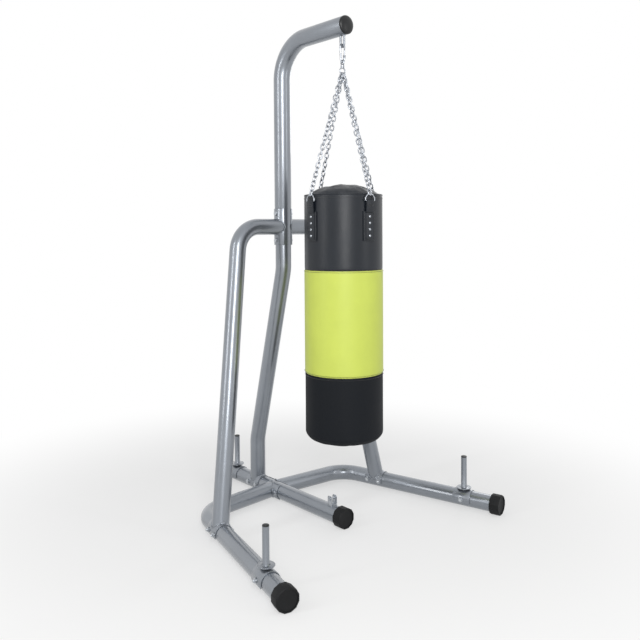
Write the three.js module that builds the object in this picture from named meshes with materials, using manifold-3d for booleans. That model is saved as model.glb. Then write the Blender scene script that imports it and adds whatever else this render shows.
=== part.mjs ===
// Free-standing punching bag stand with its hanging bag.
// Millimetres, +Z up, +X to the right, the bag and the three feet towards -Y.
// The origin is at the middle of the footprint, on the floor.

import * as THREE from 'three';
import { mergeVertices } from 'three/addons/utils/BufferGeometryUtils.js';
import Module from 'manifold-3d';

const wasm = await Module();
wasm.setup();

// ---- clearances ----
const seatGap = 0.3; // between pieces that rest on each other
const boltClearance = 0.4; // round a bolt's shank
const axisOverrun = 8; // how far a cutting tool passes the surface it cuts
const sweepSlack = 0.1; // straight left between two bends that nearly meet

// ---- frame tube ----
const tubeRadius = 35;
const tubeWall = 2;
const tubeSides = 12; // also the grid that every saddle follows
const bendSteps = 5;
const slightBendSteps = 3;
const armBendSteps = 7;
const fishmouthStart = 12; // a welded tube begins this far from the axis of the tube it meets

// ---- base ----
const middleFrontY = -449; // where the middle tube enters its front cap
const middleRearY = 359;
const crossingY = -8; // the side tubes meet the middle tube here
const cornerX = 401;
const cornerY = -41;
const cornerBend = 125;
const footX = 579.9; // where a side tube enters its cap
const footY = -793.5;

// ---- arch ----
const archFootRun = 196.7; // along the leg, from its corner to the arch's foot
const archShoulderX = 239;
const archTopZ = 1244;
const archBend = 118;

// ---- post and arm ----
const postFootY = 115;
const postLowerBendZ = 249;
const postBendDrop = 189; // the post's upper bend below the arch
const postY = -90;
const postBend = 170;
const sleeveInset = 1; // the arm's lower end inside the arch's saddles
const postSpare = 11; // the lower post's upper end above the arch's saddles
const armZ = 2047;
const armBend = 158;
const armTipY = -500;
const plugStem = 22; // how far the arm's end plug goes in
const plugPlay = 1.3;
const plugRim = 3;
const plugDome = 13;
const plugDomeSteps = 4;

// ---- saddles and bolts ----
const plate = 3;
const earLength = 13; // straight sides of a U saddle below the tube's axis
const footSaddleEnd = 15; // saddle left beyond a bolt's axis
const crossSaddleEnd = 14;
const postSaddleEnd = 21;
const sideWrapSteps = 2; // a side saddle wraps this many tube facets each way
const footBoltOffset = 30;
const crossBoltRoom = 7.5; // between a bolt's head and the tube that meets the saddle
const postBoltRoom = 14.5;
const boltRadius = 5;
const boltHeadRadius = 9.5;
const boltHeadHeight = 6.5;
const boltTail = 5; // thread showing past the nut
const boltSides = 6;

// ---- foot caps ----
const capWall = 7; // rubber round the tube at a flat
const capSides = 12;
const capLength = 43;
const capCover = 31; // how far the tube goes in
const capRecess = 4;
const capRim = 7;
const capEdge = 3;

// ---- plate pegs ----
const sidePegSetback = 130.5; // from a side tube's cap back to its peg
const rearPegSetback = 75;
const pegRadius = 12.5;
const pegWall = 2;
const pegHeight = 142;
const pegSaddleHalf = 40;
const flangeRadius = 32;
const flangeThickness = 4;
const flangeRise = 5; // the flange's underside above the saddle's crown
const pegSides = 12;
const pegCapHead = 5;
const pegCapStem = 16;

// ---- tether bracket ----
const tetherSetback = 45; // behind the middle tube's front end
const tetherWidth = 30;
const tetherLength = 26;
const tetherHeight = 40;
const tetherBase = 5;
const tetherPinRadius = 4;
const tetherPinDrop = 12; // pin axis below the lugs' top
const tetherPinHeadRadius = 7.6;
const tetherPinHead = 4;
const bracketSkirt = 6; // how far its sides reach down the tube

// ---- hanging hardware ----
const eyeSetback = 20; // from the arm's end to the eye
const eyeWire = 5;
const eyeDrop = 45.7; // from the arm's underside to the eye's lower bar
const eyeWeld = 8; // how far the eye's ends reach up the arm's sides
const eyeBendSteps = 4;
const wireSides = 6;
const hookWire = 4;
const hookEyeRoom = 3; // play of the eye's bar in the hook's top bend
const hookSwivelRoom = 2;
const hookSteps = 6; // in each half turn of the hook's wire
const hookLength = 71; // between the hook's two bearing bars
const gateWire = 3;
const gatePivotRise = 24; // above the hook's lower bar
const hookNose = 1; // straight wire above the gate
const hookThroatLean = 0.8; // how far the wire under the gate leans out
const hookThroatGap = 5.4; // from the gate's pin down to the wire's end
const hookEarWidth = 6.4;
const hookEarDepth = 10.4;
const hookEarHeight = 13.8;
const hookEarSink = 1.5; // the ears' middle below the gate's pin
const hookSlotHeight = 15;
const gatePinRadius = 1.5;
const gatePivotLean = 1; // the gate's pin outside the lower bend
const swivelWire = 3;
const swivelEyeRoom = 1.4;
const eyeBarRoom = 1;
const collarRadius = 8;
const collarHeight = 9;
const studRadius = 3;
const studLength = 6;
const flangeSwivelHeight = 5;
const ringBend = 13;
const eyeSegments = 12;
const ringSegments = 16;

// ---- bag ----
const bagRadius = 160;
const bagBottomZ = 377;
const chainDrop = 497; // from the swivel ring's middle to the bag's rim
const lowerPanelHeight = 275;
const upperPanelHeight = 301;
const bandProud = 1.5;
const vinyl = 3;
const bagEdge = 35; // rounding of the bottom edge
const bagEdgeSteps = 4;
const linerThickness = 20;
const fillingEdge = 15;
const coverRise = 41;
const coverShoulder = 0.675; // shape of the top's dome, as shares of its radius and its rise
const coverShoulderRise = 0.66;
const coverBrow = 0.4;
const coverBrowRise = 0.9;
const bagSides = 24;
const bagYaw = -4.5; // degrees the bag has turned at its swivel

// ---- straps, D-rings and chains ----
const strapCount = 4;
const strapNames = ['right', 'rear', 'left', 'front'];
const strapWidth = 38;
const strapThickness = 2;
const patchWidth = 58;
const patchDrop = 70; // from the bag's rim to the patch
const patchHeight = 115;
const dRingWire = 2.5;
const dRingWidth = 52;
const dRingHeight = 31;
const dRingDrop = 29; // from the bag's rim to the ring's bar
const dRingSteps = 6;
const chainRadius = 3;
const chainTopRoom = 0.36; // between neighbouring chains under the ring
const chainSideLift = 1; // the chains beside the ring's wire reach this much higher
const rivetRadius = 4;
const rivetHeight = 2;
const rivetSpacing = 25;
const rivetCount = 4;

// ---- materials ----
function paint(colour, roughness, metalness) {
  return new THREE.MeshStandardMaterial({ color: colour, roughness, metalness });
}
const silverPaint = paint(0x8b9199, 0.38, 0.75);
const zincSteel = paint(0xb9bdc2, 0.32, 1);
const chrome = paint(0xd5d8dc, 0.18, 1);
const blackRubber = paint(0x17191b, 0.75, 0);
const blackPlastic = paint(0x1c1e20, 0.5, 0);
const blackVinyl = paint(0x1d2126, 0.5, 0);
const greenVinyl = paint(0xb9dc2e, 0.5, 0);
const foam = paint(0xd8d2c0, 0.95, 0);
const rags = paint(0x8c8f94, 1, 0);

// ---- solids ----
function solidFrom(geometry) {
  const bare = geometry.clone();
  bare.deleteAttribute('normal');
  bare.deleteAttribute('uv');
  const merged = mergeVertices(bare, 1e-3);
  const mesh = new wasm.Mesh({
    numProp: 3,
    vertProperties: new Float32Array(merged.attributes.position.array),
    triVerts: new Uint32Array(merged.index.array),
  });
  return new wasm.Manifold(mesh);
}

function geometryFrom(solid) {
  const mesh = solid.getMesh();
  const geometry = new THREE.BufferGeometry();
  geometry.setAttribute('position', new THREE.BufferAttribute(new Float32Array(mesh.vertProperties), 3));
  geometry.setIndex(new THREE.BufferAttribute(new Uint32Array(mesh.triVerts), 1));
  geometry.computeVertexNormals();
  return geometry;
}

// A path of straight runs and round bends. It has one station at each end of a
// straight run and a few in each bend.
class BentPath extends THREE.Curve {
  constructor(corners, bends, steps = bendSteps) {
    super();
    this.stations = [{ point: corners[0], tangent: corners[1].clone().sub(corners[0]).normalize() }];
    for (let i = 1; i < corners.length - 1; i++) {
      this.addBend(corners[i - 1], corners[i], corners[i + 1], bends[i - 1], steps);
    }
    const last = corners.length - 1;
    const end = corners[last].clone().sub(corners[last - 1]).normalize();
    this.stations.push({ point: corners[last], tangent: end });
  }

  addBend(before, corner, after, radius, steps) {
    const into = corner.clone().sub(before).normalize();
    const out = after.clone().sub(corner).normalize();
    const turn = Math.acos(THREE.MathUtils.clamp(into.dot(out), -1, 1));
    const inward = out.clone().addScaledVector(into, -into.dot(out)).normalize();
    const start = corner.clone().addScaledVector(into, -radius * Math.tan(turn / 2));
    const centre = start.clone().addScaledVector(inward, radius);
    for (let step = 0; step <= steps; step++) {
      const angle = (turn * step) / steps;
      const point = centre.clone();
      point.addScaledVector(inward, -radius * Math.cos(angle));
      point.addScaledVector(into, radius * Math.sin(angle));
      const tangent = into.clone().multiplyScalar(Math.cos(angle));
      tangent.addScaledVector(inward, Math.sin(angle));
      this.stations.push({ point, tangent });
    }
  }

  get steps() {
    return this.stations.length - 1;
  }

  station(u) {
    return this.stations[Math.round(u * this.steps)];
  }

  getPointAt(u, target = new THREE.Vector3()) {
    return target.copy(this.station(u).point);
  }

  getTangentAt(u, target = new THREE.Vector3()) {
    return target.copy(this.station(u).tangent);
  }
}

function ringShape(outer, inner) {
  const shape = new THREE.Shape();
  shape.absarc(0, 0, outer, 0, Math.PI * 2, false);
  if (inner > 0) {
    const hole = new THREE.Path();
    hole.absarc(0, 0, inner, 0, Math.PI * 2, true);
    shape.holes.push(hole);
  }
  return shape;
}

function sweep(path, outer, inner = 0, sides = tubeSides) {
  const options = { steps: path.steps, extrudePath: path, curveSegments: sides / 2 };
  return new THREE.ExtrudeGeometry(ringShape(outer, inner), options);
}

function rod(start, end, radius, sides = tubeSides) {
  return solidFrom(sweep(new BentPath([start, end], []), radius, 0, sides));
}

// An extrusion of a flat shape. Its local X, Y and Z lie along right, up and along.
function profileSolid(shape, length, centre, right, up, along, segments = tubeSides / 4) {
  const geometry = new THREE.ExtrudeGeometry(shape, {
    depth: length,
    bevelEnabled: false,
    curveSegments: segments,
  });
  geometry.translate(0, 0, -length / 2);
  geometry.applyMatrix4(new THREE.Matrix4().makeBasis(right, up, along).setPosition(centre));
  return solidFrom(geometry);
}

function turned(profile, sides, start = 0) {
  const points = profile.map(([radius, height]) => new THREE.Vector2(radius, height));
  const geometry = new THREE.LatheGeometry(points, sides, start);
  geometry.rotateX(Math.PI / 2);
  return solidFrom(geometry);
}

function moved(solid, matrix) {
  return solidFrom(geometryFrom(solid).applyMatrix4(matrix));
}

function vec(x, y, z) {
  return new THREE.Vector3(x, y, z);
}

function between(start, end, share) {
  return start.clone().lerp(end, share);
}

// ---- driving points, worked out from the sizes above ----
const capFlat = (tubeRadius + capWall) * 2; // across two opposite flats
const axisZ = capFlat / 2; // the base tubes' height is set by the caps they stand on
const postUpperBendZ = archTopZ - postBendDrop;
const footSaddleHalf = footBoltOffset + footSaddleEnd;
const crossBoltOffset = tubeRadius + boltHeadRadius + crossBoltRoom;
const crossSaddleHalf = crossBoltOffset + crossSaddleEnd;
const postBoltOffset = tubeRadius + boltHeadRadius + postBoltRoom;
const postSaddleHalf = postBoltOffset + postSaddleEnd;
const sleeveBottomZ = archTopZ - postSaddleHalf + sleeveInset;
const postTopZ = archTopZ + postSaddleHalf + postSpare;
const rearPegY = middleRearY - rearPegSetback;
const tetherY = middleFrontY + tetherSetback;
const hangY = armTipY + eyeSetback;
const up = vec(0, 0, 1);
const rightward = vec(1, 0, 0);
const backward = vec(0, 1, 0);
const saddleInner = tubeRadius + seatGap;
const saddleOuter = saddleInner + plate;
const sleeveInner = tubeRadius + seatGap;
const sleeveOuter = sleeveInner + tubeWall;
const boltHole = boltRadius + boltClearance;
const eyeBend = eyeWire + hookWire + eyeBarRoom;
const eyeBarZ = armZ - sleeveOuter - eyeDrop;
const hookTopBend = hookWire + eyeWire + hookEyeRoom;
const hookFootBend = hookWire + swivelWire + hookSwivelRoom;
const gateLength = hookLength - hookTopBend - gatePivotRise - gateWire - hookNose;
const hookTopZ = eyeBarZ + eyeWire + hookWire + seatGap;
const hookFootZ = hookTopZ - hookLength;
const swivelTopZ = hookFootZ + hookWire + swivelWire + seatGap;
const swivelEyeBend = hookWire + swivelWire + swivelEyeRoom;
const swivelEyeZ = swivelTopZ - swivelEyeBend;
const collarTopZ = swivelEyeZ - swivelEyeBend;
const collarBottomZ = collarTopZ - collarHeight;
const swivelFlangeTopZ = collarBottomZ - seatGap;
const ringZ = swivelFlangeTopZ - flangeSwivelHeight - ringBend + swivelWire / 2;
const bagTopZ = ringZ - chainDrop;
const lowerSeamZ = bagBottomZ + lowerPanelHeight;
const upperSeamZ = bagTopZ - upperPanelHeight;
const patchTopZ = bagTopZ - patchDrop;
const patchBottomZ = patchTopZ - patchHeight;
const dRingBarZ = bagTopZ - dRingDrop;
const chainTopOffset = chainRadius * Math.SQRT2 + chainTopRoom;
const hangPoint = vec(0, hangY, 0);
const patchInner = bagRadius + seatGap;
const dRingOffset = patchInner + strapThickness + seatGap + dRingWire;
const loopRadius = dRingWire + seatGap + strapThickness;

function sideSign(side) {
  return side === 'left' ? -1 : 1;
}

function legPoints(side) {
  const sign = sideSign(side);
  return {
    corner: vec(sign * cornerX, cornerY, axisZ),
    foot: vec(sign * footX, footY, axisZ),
  };
}

function legAlong(side) {
  const { corner, foot } = legPoints(side);
  return foot.clone().sub(corner).normalize();
}

function archFootPlace(side) {
  const along = legAlong(side);
  return { centre: legPoints(side).corner.addScaledVector(along, archFootRun), along };
}

function sidePegPlace(side) {
  const along = legAlong(side);
  return { centre: legPoints(side).foot.addScaledVector(along, -sidePegSetback), along };
}

// ---- saddles ----
function uSaddleShape() {
  const shape = new THREE.Shape();
  shape.moveTo(saddleOuter, -earLength);
  shape.lineTo(saddleOuter, 0);
  shape.absarc(0, 0, saddleOuter, 0, Math.PI, false);
  shape.lineTo(-saddleOuter, -earLength);
  shape.lineTo(-saddleInner, -earLength);
  shape.lineTo(-saddleInner, 0);
  shape.absarc(0, 0, saddleInner, Math.PI, 0, true);
  shape.lineTo(saddleInner, -earLength);
  return shape;
}

function sideSaddleShape(inner) {
  const wrap = (sideWrapSteps * Math.PI * 2) / tubeSides;
  const shape = new THREE.Shape();
  shape.absarc(0, 0, inner + plate, -wrap, wrap, false);
  shape.absarc(0, 0, inner, wrap, -wrap, true);
  return shape;
}

function boltLine(centre, across, reach) {
  const start = centre.clone().addScaledVector(across, -reach);
  const end = centre.clone().addScaledVector(across, reach);
  return { start, end };
}

function boltHoleTool(centre, across) {
  const reach = saddleOuter + axisOverrun;
  const { start, end } = boltLine(centre, across, reach);
  return rod(start, end, boltHole, boltSides);
}

function cutHoles(solid, centres, across) {
  return centres.reduce((cut, centre) => cut.subtract(boltHoleTool(centre, across)), solid);
}

// U saddle over a base tube, open downwards.
function uSaddle(centre, along, half) {
  const across = vec(along.y, -along.x, 0);
  return profileSolid(uSaddleShape(), half * 2, centre, across, up, across.clone().cross(up));
}

// Side plate wrapped against a tube that runs along the given direction.
function sideSaddle(centre, outward, along, half, inner) {
  const side = along.clone().cross(outward);
  const segments = sideWrapSteps;
  return profileSolid(sideSaddleShape(inner), half * 2, centre, outward, side, along, segments);
}

// ---- bolts with their nuts done up ----
function through(centre, across, seat) {
  const { start, end } = boltLine(centre, across, seat + boltHeadHeight + seatGap);
  const tail = end.clone().addScaledVector(across, boltTail);
  const head = between(start, end, boltHeadHeight / start.distanceTo(end));
  const nut = between(end, start, boltHeadHeight / start.distanceTo(end));
  const shank = rod(start, tail, boltRadius, boltSides);
  const headSolid = rod(start, head, boltHeadRadius, boltSides);
  const nutSolid = rod(nut, end, boltHeadRadius, boltSides);
  return shank.add(headSolid).add(nutSolid);
}

function alongLegBolts(side) {
  const { centre, along } = archFootPlace(side);
  return [-footBoltOffset, footBoltOffset].map((offset) => centre.clone().addScaledVector(along, offset));
}

function acrossLeg(side) {
  const along = legAlong(side);
  return vec(along.y, -along.x, 0);
}

const crossBolts = [-crossBoltOffset, crossBoltOffset].map((offset) => vec(0, crossingY + offset, axisZ));
const postFootBolts = [-footBoltOffset, footBoltOffset].map((offset) => vec(0, postFootY + offset, axisZ));
const archBolts = [-postBoltOffset, postBoltOffset].map((offset) => vec(0, postY, archTopZ + offset));
const rearPegPlace = { centre: vec(0, rearPegY, axisZ), along: vec(0, -1, 0) };

// ---- base tubes ----
function middleBaseTube() {
  const front = vec(0, middleFrontY - capCover, axisZ);
  const rear = vec(0, middleRearY + capCover, axisZ);
  const tube = solidFrom(sweep(new BentPath([rear, front], []), tubeRadius, tubeRadius - tubeWall));
  const holes = [...crossBolts, ...postFootBolts, rearPegPlace.centre];
  return cutHoles(tube, holes, rightward);
}

function sideBaseTube(side) {
  const sign = sideSign(side);
  const outward = vec(sign, 0, 0);
  const { corner, foot } = legPoints(side);
  const along = legAlong(side);
  const start = vec(sign * fishmouthStart, crossingY, axisZ);
  const end = foot.clone().addScaledVector(along, capCover);
  const path = new BentPath([start, corner, end], [cornerBend]);
  const outer = solidFrom(sweep(path, tubeRadius));
  const bore = solidFrom(sweep(path, tubeRadius - tubeWall));
  const centre = vec(0, crossingY, axisZ);
  const saddle = sideSaddle(centre, outward, backward, crossSaddleHalf, saddleInner);
  const frontEnd = vec(0, middleFrontY, axisZ);
  const rearEnd = vec(0, middleRearY, axisZ);
  const mate = rod(rearEnd, frontEnd, saddleInner);
  const welded = outer.subtract(mate).add(saddle).subtract(bore);
  const legHoles = [...alongLegBolts(side), sidePegPlace(side).centre];
  return cutHoles(cutHoles(welded, crossBolts, rightward), legHoles, acrossLeg(side));
}

// ---- arch ----
function archTube(side) {
  const sign = sideSign(side);
  const { centre, along } = archFootPlace(side);
  const shoulder = vec(sign * archShoulderX, postY, archTopZ);
  const rise = shoulder.clone().sub(centre).normalize();
  const start = centre.clone().addScaledVector(rise, fishmouthStart);
  const top = vec(sign * fishmouthStart, postY, archTopZ);
  const path = new BentPath([start, shoulder, top], [archBend]);
  const outer = solidFrom(sweep(path, tubeRadius));
  const bore = solidFrom(sweep(path, tubeRadius - tubeWall));
  const footSaddle = uSaddle(centre, along, footSaddleHalf);
  const outward = vec(sign, 0, 0);
  const postCentre = vec(0, postY, archTopZ);
  const topSaddle = sideSaddle(postCentre, outward, up, postSaddleHalf, sleeveOuter + seatGap);
  const reach = footSaddleHalf * 2;
  const legStart = centre.clone().addScaledVector(along, -reach);
  const legMate = rod(legStart, centre.clone().addScaledVector(along, reach), saddleInner);
  const postStart = vec(0, postY, archTopZ - reach);
  const postMate = rod(postStart, vec(0, postY, archTopZ + reach), sleeveOuter + seatGap);
  const trimmed = outer.subtract(legMate).subtract(postMate);
  const welded = trimmed.add(footSaddle).add(topSaddle).subtract(bore);
  return cutHoles(cutHoles(welded, archBolts, rightward), alongLegBolts(side), acrossLeg(side));
}

// ---- post and arm ----
function lowerPost() {
  const bottom = vec(0, postFootY, axisZ + fishmouthStart);
  const corners = [
    bottom,
    vec(0, postFootY, postLowerBendZ),
    vec(0, postY, postUpperBendZ),
    vec(0, postY, postTopZ),
  ];
  const path = new BentPath(corners, [postBend, postBend], slightBendSteps);
  const outer = solidFrom(sweep(path, tubeRadius));
  const bore = solidFrom(sweep(path, tubeRadius - tubeWall));
  const centre = vec(0, postFootY, axisZ);
  const saddle = uSaddle(centre, rearPegPlace.along, footSaddleHalf);
  const mate = rod(vec(0, middleRearY, axisZ), vec(0, middleFrontY, axisZ), saddleInner);
  const welded = outer.subtract(mate).add(saddle).subtract(bore);
  return cutHoles(cutHoles(welded, postFootBolts, rightward), archBolts, rightward);
}

function upperPostAndArm() {
  const corners = [vec(0, postY, sleeveBottomZ), vec(0, postY, armZ), vec(0, armTipY, armZ)];
  const path = new BentPath(corners, [armBend], armBendSteps);
  return cutHoles(solidFrom(sweep(path, sleeveOuter, sleeveInner)), archBolts, rightward);
}

function armEndPlug() {
  const stem = sleeveInner - plugPlay;
  const profile = [
    [0, -plugStem],
    [stem, -plugStem],
    [stem, seatGap],
    [sleeveOuter, seatGap],
    [sleeveOuter, plugRim],
  ];
  for (let step = 1; step <= plugDomeSteps; step++) {
    const angle = (step * Math.PI) / 2 / plugDomeSteps;
    profile.push([sleeveOuter * Math.cos(angle), plugRim + plugDome * Math.sin(angle)]);
  }
  profile[profile.length - 1][0] = 0;
  const solid = turned(profile, tubeSides);
  const place = new THREE.Matrix4().makeBasis(rightward, up, vec(0, -1, 0));
  return moved(solid, place.setPosition(vec(0, armTipY, armZ)));
}

// ---- foot caps ----
function footCap(junction, along) {
  const outer = capFlat / 2 / Math.cos(Math.PI / capSides);
  const socket = (tubeRadius + seatGap) / Math.cos(Math.PI / capSides);
  const face = outer - capRim;
  const profile = [
    [0, capLength - capRecess],
    [face, capLength - capRecess],
    [face, capLength],
    [outer - capEdge, capLength],
    [outer, capLength - capEdge],
    [outer, 0],
    [socket, 0],
    [socket, capCover + seatGap],
    [0, capCover + seatGap],
  ].reverse();
  const solid = turned(profile, capSides, Math.PI / capSides);
  const across = up.clone().cross(along);
  const place = new THREE.Matrix4().makeBasis(across, up, along);
  return moved(solid, place.setPosition(junction));
}

// ---- plate pegs ----
function platePeg({ centre, along }) {
  const crown = axisZ + saddleOuter;
  const saddle = uSaddle(centre, along, pegSaddleHalf);
  const foot = vec(centre.x, centre.y, axisZ + tubeRadius + seatGap + plate / 2);
  const flangeStart = vec(centre.x, centre.y, crown + flangeRise);
  const flangeEnd = vec(centre.x, centre.y, crown + flangeRise + flangeThickness);
  const top = vec(centre.x, centre.y, crown + pegHeight);
  const over = vec(centre.x, centre.y, crown + pegHeight + axisOverrun);
  const peg = rod(foot, top, pegRadius, pegSides);
  const flange = rod(flangeStart, flangeEnd, flangeRadius, pegSides);
  const bore = rod(flangeEnd, over, pegRadius - pegWall, pegSides);
  const welded = saddle.add(peg).add(flange).subtract(bore);
  return cutHoles(welded, [centre], vec(along.y, -along.x, 0));
}

function pegCap({ centre }) {
  const top = axisZ + saddleOuter + pegHeight;
  const stemEnd = vec(centre.x, centre.y, top - pegCapStem);
  const seat = vec(centre.x, centre.y, top + seatGap);
  const head = vec(centre.x, centre.y, top + seatGap + pegCapHead);
  const stem = rod(stemEnd, head, pegRadius - pegWall - seatGap, pegSides);
  return stem.add(rod(seat, head, pegRadius, pegSides));
}

// ---- tether bracket ----
function tetherBracket() {
  const baseZ = axisZ + tubeRadius - bracketSkirt;
  const crown = axisZ + tubeRadius + seatGap;
  const height = crown + tetherHeight - baseZ;
  const block = new THREE.BoxGeometry(tetherWidth, tetherLength, height);
  block.translate(0, tetherY, baseZ + height / 2);
  const slot = new THREE.BoxGeometry(tetherWidth - plate * 2, tetherLength * 2, tetherHeight);
  slot.translate(0, tetherY, crown + tetherBase + tetherHeight / 2);
  const mate = rod(vec(0, middleRearY, axisZ), vec(0, middleFrontY, axisZ), saddleInner);
  const pinZ = crown + tetherHeight - tetherPinDrop;
  const hole = rod(vec(-tetherWidth, tetherY, pinZ), vec(tetherWidth, tetherY, pinZ),
    tetherPinRadius + boltClearance, boltSides);
  return solidFrom(block).subtract(solidFrom(slot)).subtract(mate).subtract(hole);
}

function tetherPin() {
  const pinZ = axisZ + tubeRadius + seatGap + tetherHeight - tetherPinDrop;
  const half = tetherWidth / 2 + seatGap;
  const shank = rod(vec(-half, tetherY, pinZ), vec(half, tetherY, pinZ), tetherPinRadius, boltSides);
  const reach = half + tetherPinHead;
  const radius = tetherPinHeadRadius;
  const head = rod(vec(-reach, tetherY, pinZ), vec(-half, tetherY, pinZ), radius, boltSides);
  const nut = rod(vec(half, tetherY, pinZ), vec(reach, tetherY, pinZ), radius, boltSides);
  return shank.add(head).add(nut);
}

// ---- hanging hardware ----
function hangerEye() {
  const rootZ = armZ - sleeveOuter + eyeWeld;
  const bend = eyeBend - sweepSlack;
  const corners = [
    vec(0, hangY - eyeBend, rootZ),
    vec(0, hangY - eyeBend, eyeBarZ),
    vec(0, hangY + eyeBend, eyeBarZ),
    vec(0, hangY + eyeBend, rootZ),
  ];
  const path = new BentPath(corners, [bend, bend], eyeBendSteps);
  const wire = solidFrom(sweep(path, eyeWire, 0, wireSides));
  const reach = eyeBend + eyeWire + axisOverrun;
  const mate = rod(vec(0, hangY + reach, armZ), vec(0, hangY - reach, armZ), sleeveOuter + seatGap);
  return wire.subtract(mate);
}

// The hook's wire as a pear-shaped loop with a gap where the gate lies.
function hookPath() {
  const topCentre = hookTopZ - hookTopBend;
  const footCentre = hookFootZ + hookFootBend;
  const points = [];
  points.push(vec(hookTopBend - sweepSlack * 4, hangY, topCentre - hookNose));
  for (let step = 0; step <= hookSteps; step++) {
    const angle = (step * Math.PI) / hookSteps;
    points.push(vec(hookTopBend * Math.cos(angle), hangY, topCentre + hookTopBend * Math.sin(angle)));
  }
  for (let step = 0; step <= hookSteps; step++) {
    const angle = Math.PI + (step * Math.PI) / hookSteps;
    points.push(vec(hookFootBend * Math.cos(angle), hangY, footCentre + hookFootBend * Math.sin(angle)));
  }
  const throat = hookFootZ + gatePivotRise - hookThroatGap;
  points.push(vec(hookFootBend + hookThroatLean, hangY, throat));
  return points;
}

// A path through points, with a mitred station at each one.
class PointPath extends THREE.Curve {
  constructor(points) {
    super();
    this.points = points;
  }

  get steps() {
    return this.points.length - 1;
  }

  getPointAt(u, target = new THREE.Vector3()) {
    return target.copy(this.points[Math.round(u * this.steps)]);
  }

  getTangentAt(u, target = new THREE.Vector3()) {
    const i = Math.round(u * this.steps);
    const before = this.points[Math.max(i - 1, 0)];
    const after = this.points[Math.min(i + 1, this.steps)];
    return target.copy(after).sub(before).normalize();
  }
}

function snapHook() {
  const wire = solidFrom(sweep(new PointPath(hookPath()), hookWire, 0, wireSides));
  const pivot = gatePivot();
  const ear = new THREE.BoxGeometry(hookEarWidth, hookEarDepth, hookEarHeight);
  ear.translate(pivot.x, pivot.y, pivot.z - hookEarSink);
  const slot = new THREE.BoxGeometry(hookEarWidth * 4, (gateWire + seatGap) * 2, hookSlotHeight);
  slot.translate(pivot.x, pivot.y, pivot.z + hookSlotHeight / 2 - hookThroatGap);
  const { start, end } = boltLine(pivot, backward, hookEarDepth);
  const pin = rod(start, end, gatePinRadius + boltClearance / 2, boltSides);
  return wire.add(solidFrom(ear)).subtract(solidFrom(slot)).subtract(pin);
}

function gatePivot() {
  return vec(hookFootBend + gatePivotLean, hangY, hookFootZ + gatePivotRise);
}

function hookGate() {
  const pivot = gatePivot();
  const top = vec(hookTopBend - sweepSlack * 6, hangY, pivot.z + gateLength - seatGap);
  const lever = rod(pivot.clone(), top, gateWire, wireSides);
  const barrelLine = boltLine(pivot, backward, gateWire);
  const barrel = rod(barrelLine.start, barrelLine.end, gateWire, wireSides);
  const pinLine = boltLine(pivot, backward, hookEarDepth / 2);
  const pin = rod(pinLine.start, pinLine.end, gatePinRadius, boltSides);
  return lever.add(barrel).add(pin);
}

function torus(centre, bend, wire, plane, segments) {
  const geometry = new THREE.TorusGeometry(bend, wire, wireSides, segments);
  if (plane === 'yz') geometry.rotateY(Math.PI / 2);
  if (plane === 'xz') geometry.rotateX(Math.PI / 2);
  geometry.translate(centre.x, centre.y, centre.z);
  return solidFrom(geometry);
}

function swivelUpper() {
  const eye = torus(vec(0, hangY, swivelEyeZ), swivelEyeBend, swivelWire, 'yz', eyeSegments);
  const collar = rod(vec(0, hangY, collarBottomZ), vec(0, hangY, collarTopZ), collarRadius, tubeSides);
  const bore = rod(vec(0, hangY, collarBottomZ - axisOverrun),
    vec(0, hangY, collarBottomZ + studLength + seatGap), studRadius + seatGap, tubeSides);
  return eye.add(collar).subtract(bore);
}

// The turning half of the swivel, made on the bag's own upright axis.
function swivelRing() {
  const ring = torus(vec(0, 0, ringZ), ringBend, swivelWire, 'xz', ringSegments);
  const flangeLow = vec(0, 0, swivelFlangeTopZ - flangeSwivelHeight);
  const flangeHigh = vec(0, 0, swivelFlangeTopZ);
  const flange = rod(flangeLow, flangeHigh, collarRadius, tubeSides);
  const stud = rod(flangeLow, vec(0, 0, swivelFlangeTopZ + studLength), studRadius, tubeSides);
  return ring.add(flange).add(stud);
}

// ---- bag, made on its own upright axis ----
function bagShell(radius, low, high) {
  const inner = bagRadius - vinyl;
  return turned([[inner, low], [radius, low], [radius, high], [inner, high], [inner, low]], bagSides);
}

function edgeArc(radius) {
  const points = [];
  for (let step = 0; step <= bagEdgeSteps; step++) {
    const angle = (step * Math.PI) / 2 / bagEdgeSteps;
    const centre = bagRadius - bagEdge;
    points.push([centre + radius * Math.sin(angle), bagBottomZ + bagEdge - radius * Math.cos(angle)]);
  }
  return points;
}

function bagLowerPanel() {
  const top = lowerSeamZ - seatGap;
  const outside = edgeArc(bagEdge);
  const inside = edgeArc(bagEdge - vinyl).reverse();
  const profile = [
    [0, bagBottomZ],
    ...outside,
    [bagRadius, top],
    [bagRadius - vinyl, top],
    ...inside,
    [0, bagBottomZ + vinyl],
  ];
  return turned(profile, bagSides);
}

function bagLiner() {
  const outer = bagRadius - vinyl - seatGap;
  const inner = outer - linerThickness;
  const low = bagBottomZ + bagEdge + vinyl;
  const high = bagTopZ - linerThickness;
  return turned([[inner, low], [outer, low], [outer, high], [inner, high], [inner, low]], bagSides);
}

function bagFilling() {
  const radius = bagRadius - vinyl - linerThickness - seatGap * 2;
  const low = bagBottomZ + vinyl + seatGap;
  const high = bagTopZ - linerThickness;
  const foot = radius - fillingEdge;
  return turned([[0, low], [foot, low], [radius, low + fillingEdge], [radius, high], [0, high]], bagSides);
}

function bagTopCover() {
  const radius = bagRadius - vinyl - seatGap;
  const low = bagTopZ - linerThickness + seatGap;
  const profile = [
    [0, low],
    [radius, low],
    [radius, bagTopZ - vinyl],
    [radius * coverShoulder, bagTopZ + coverRise * coverShoulderRise],
    [radius * coverBrow, bagTopZ + coverRise * coverBrowRise],
    [0, bagTopZ + coverRise],
  ];
  return turned(profile, bagSides);
}

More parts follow.
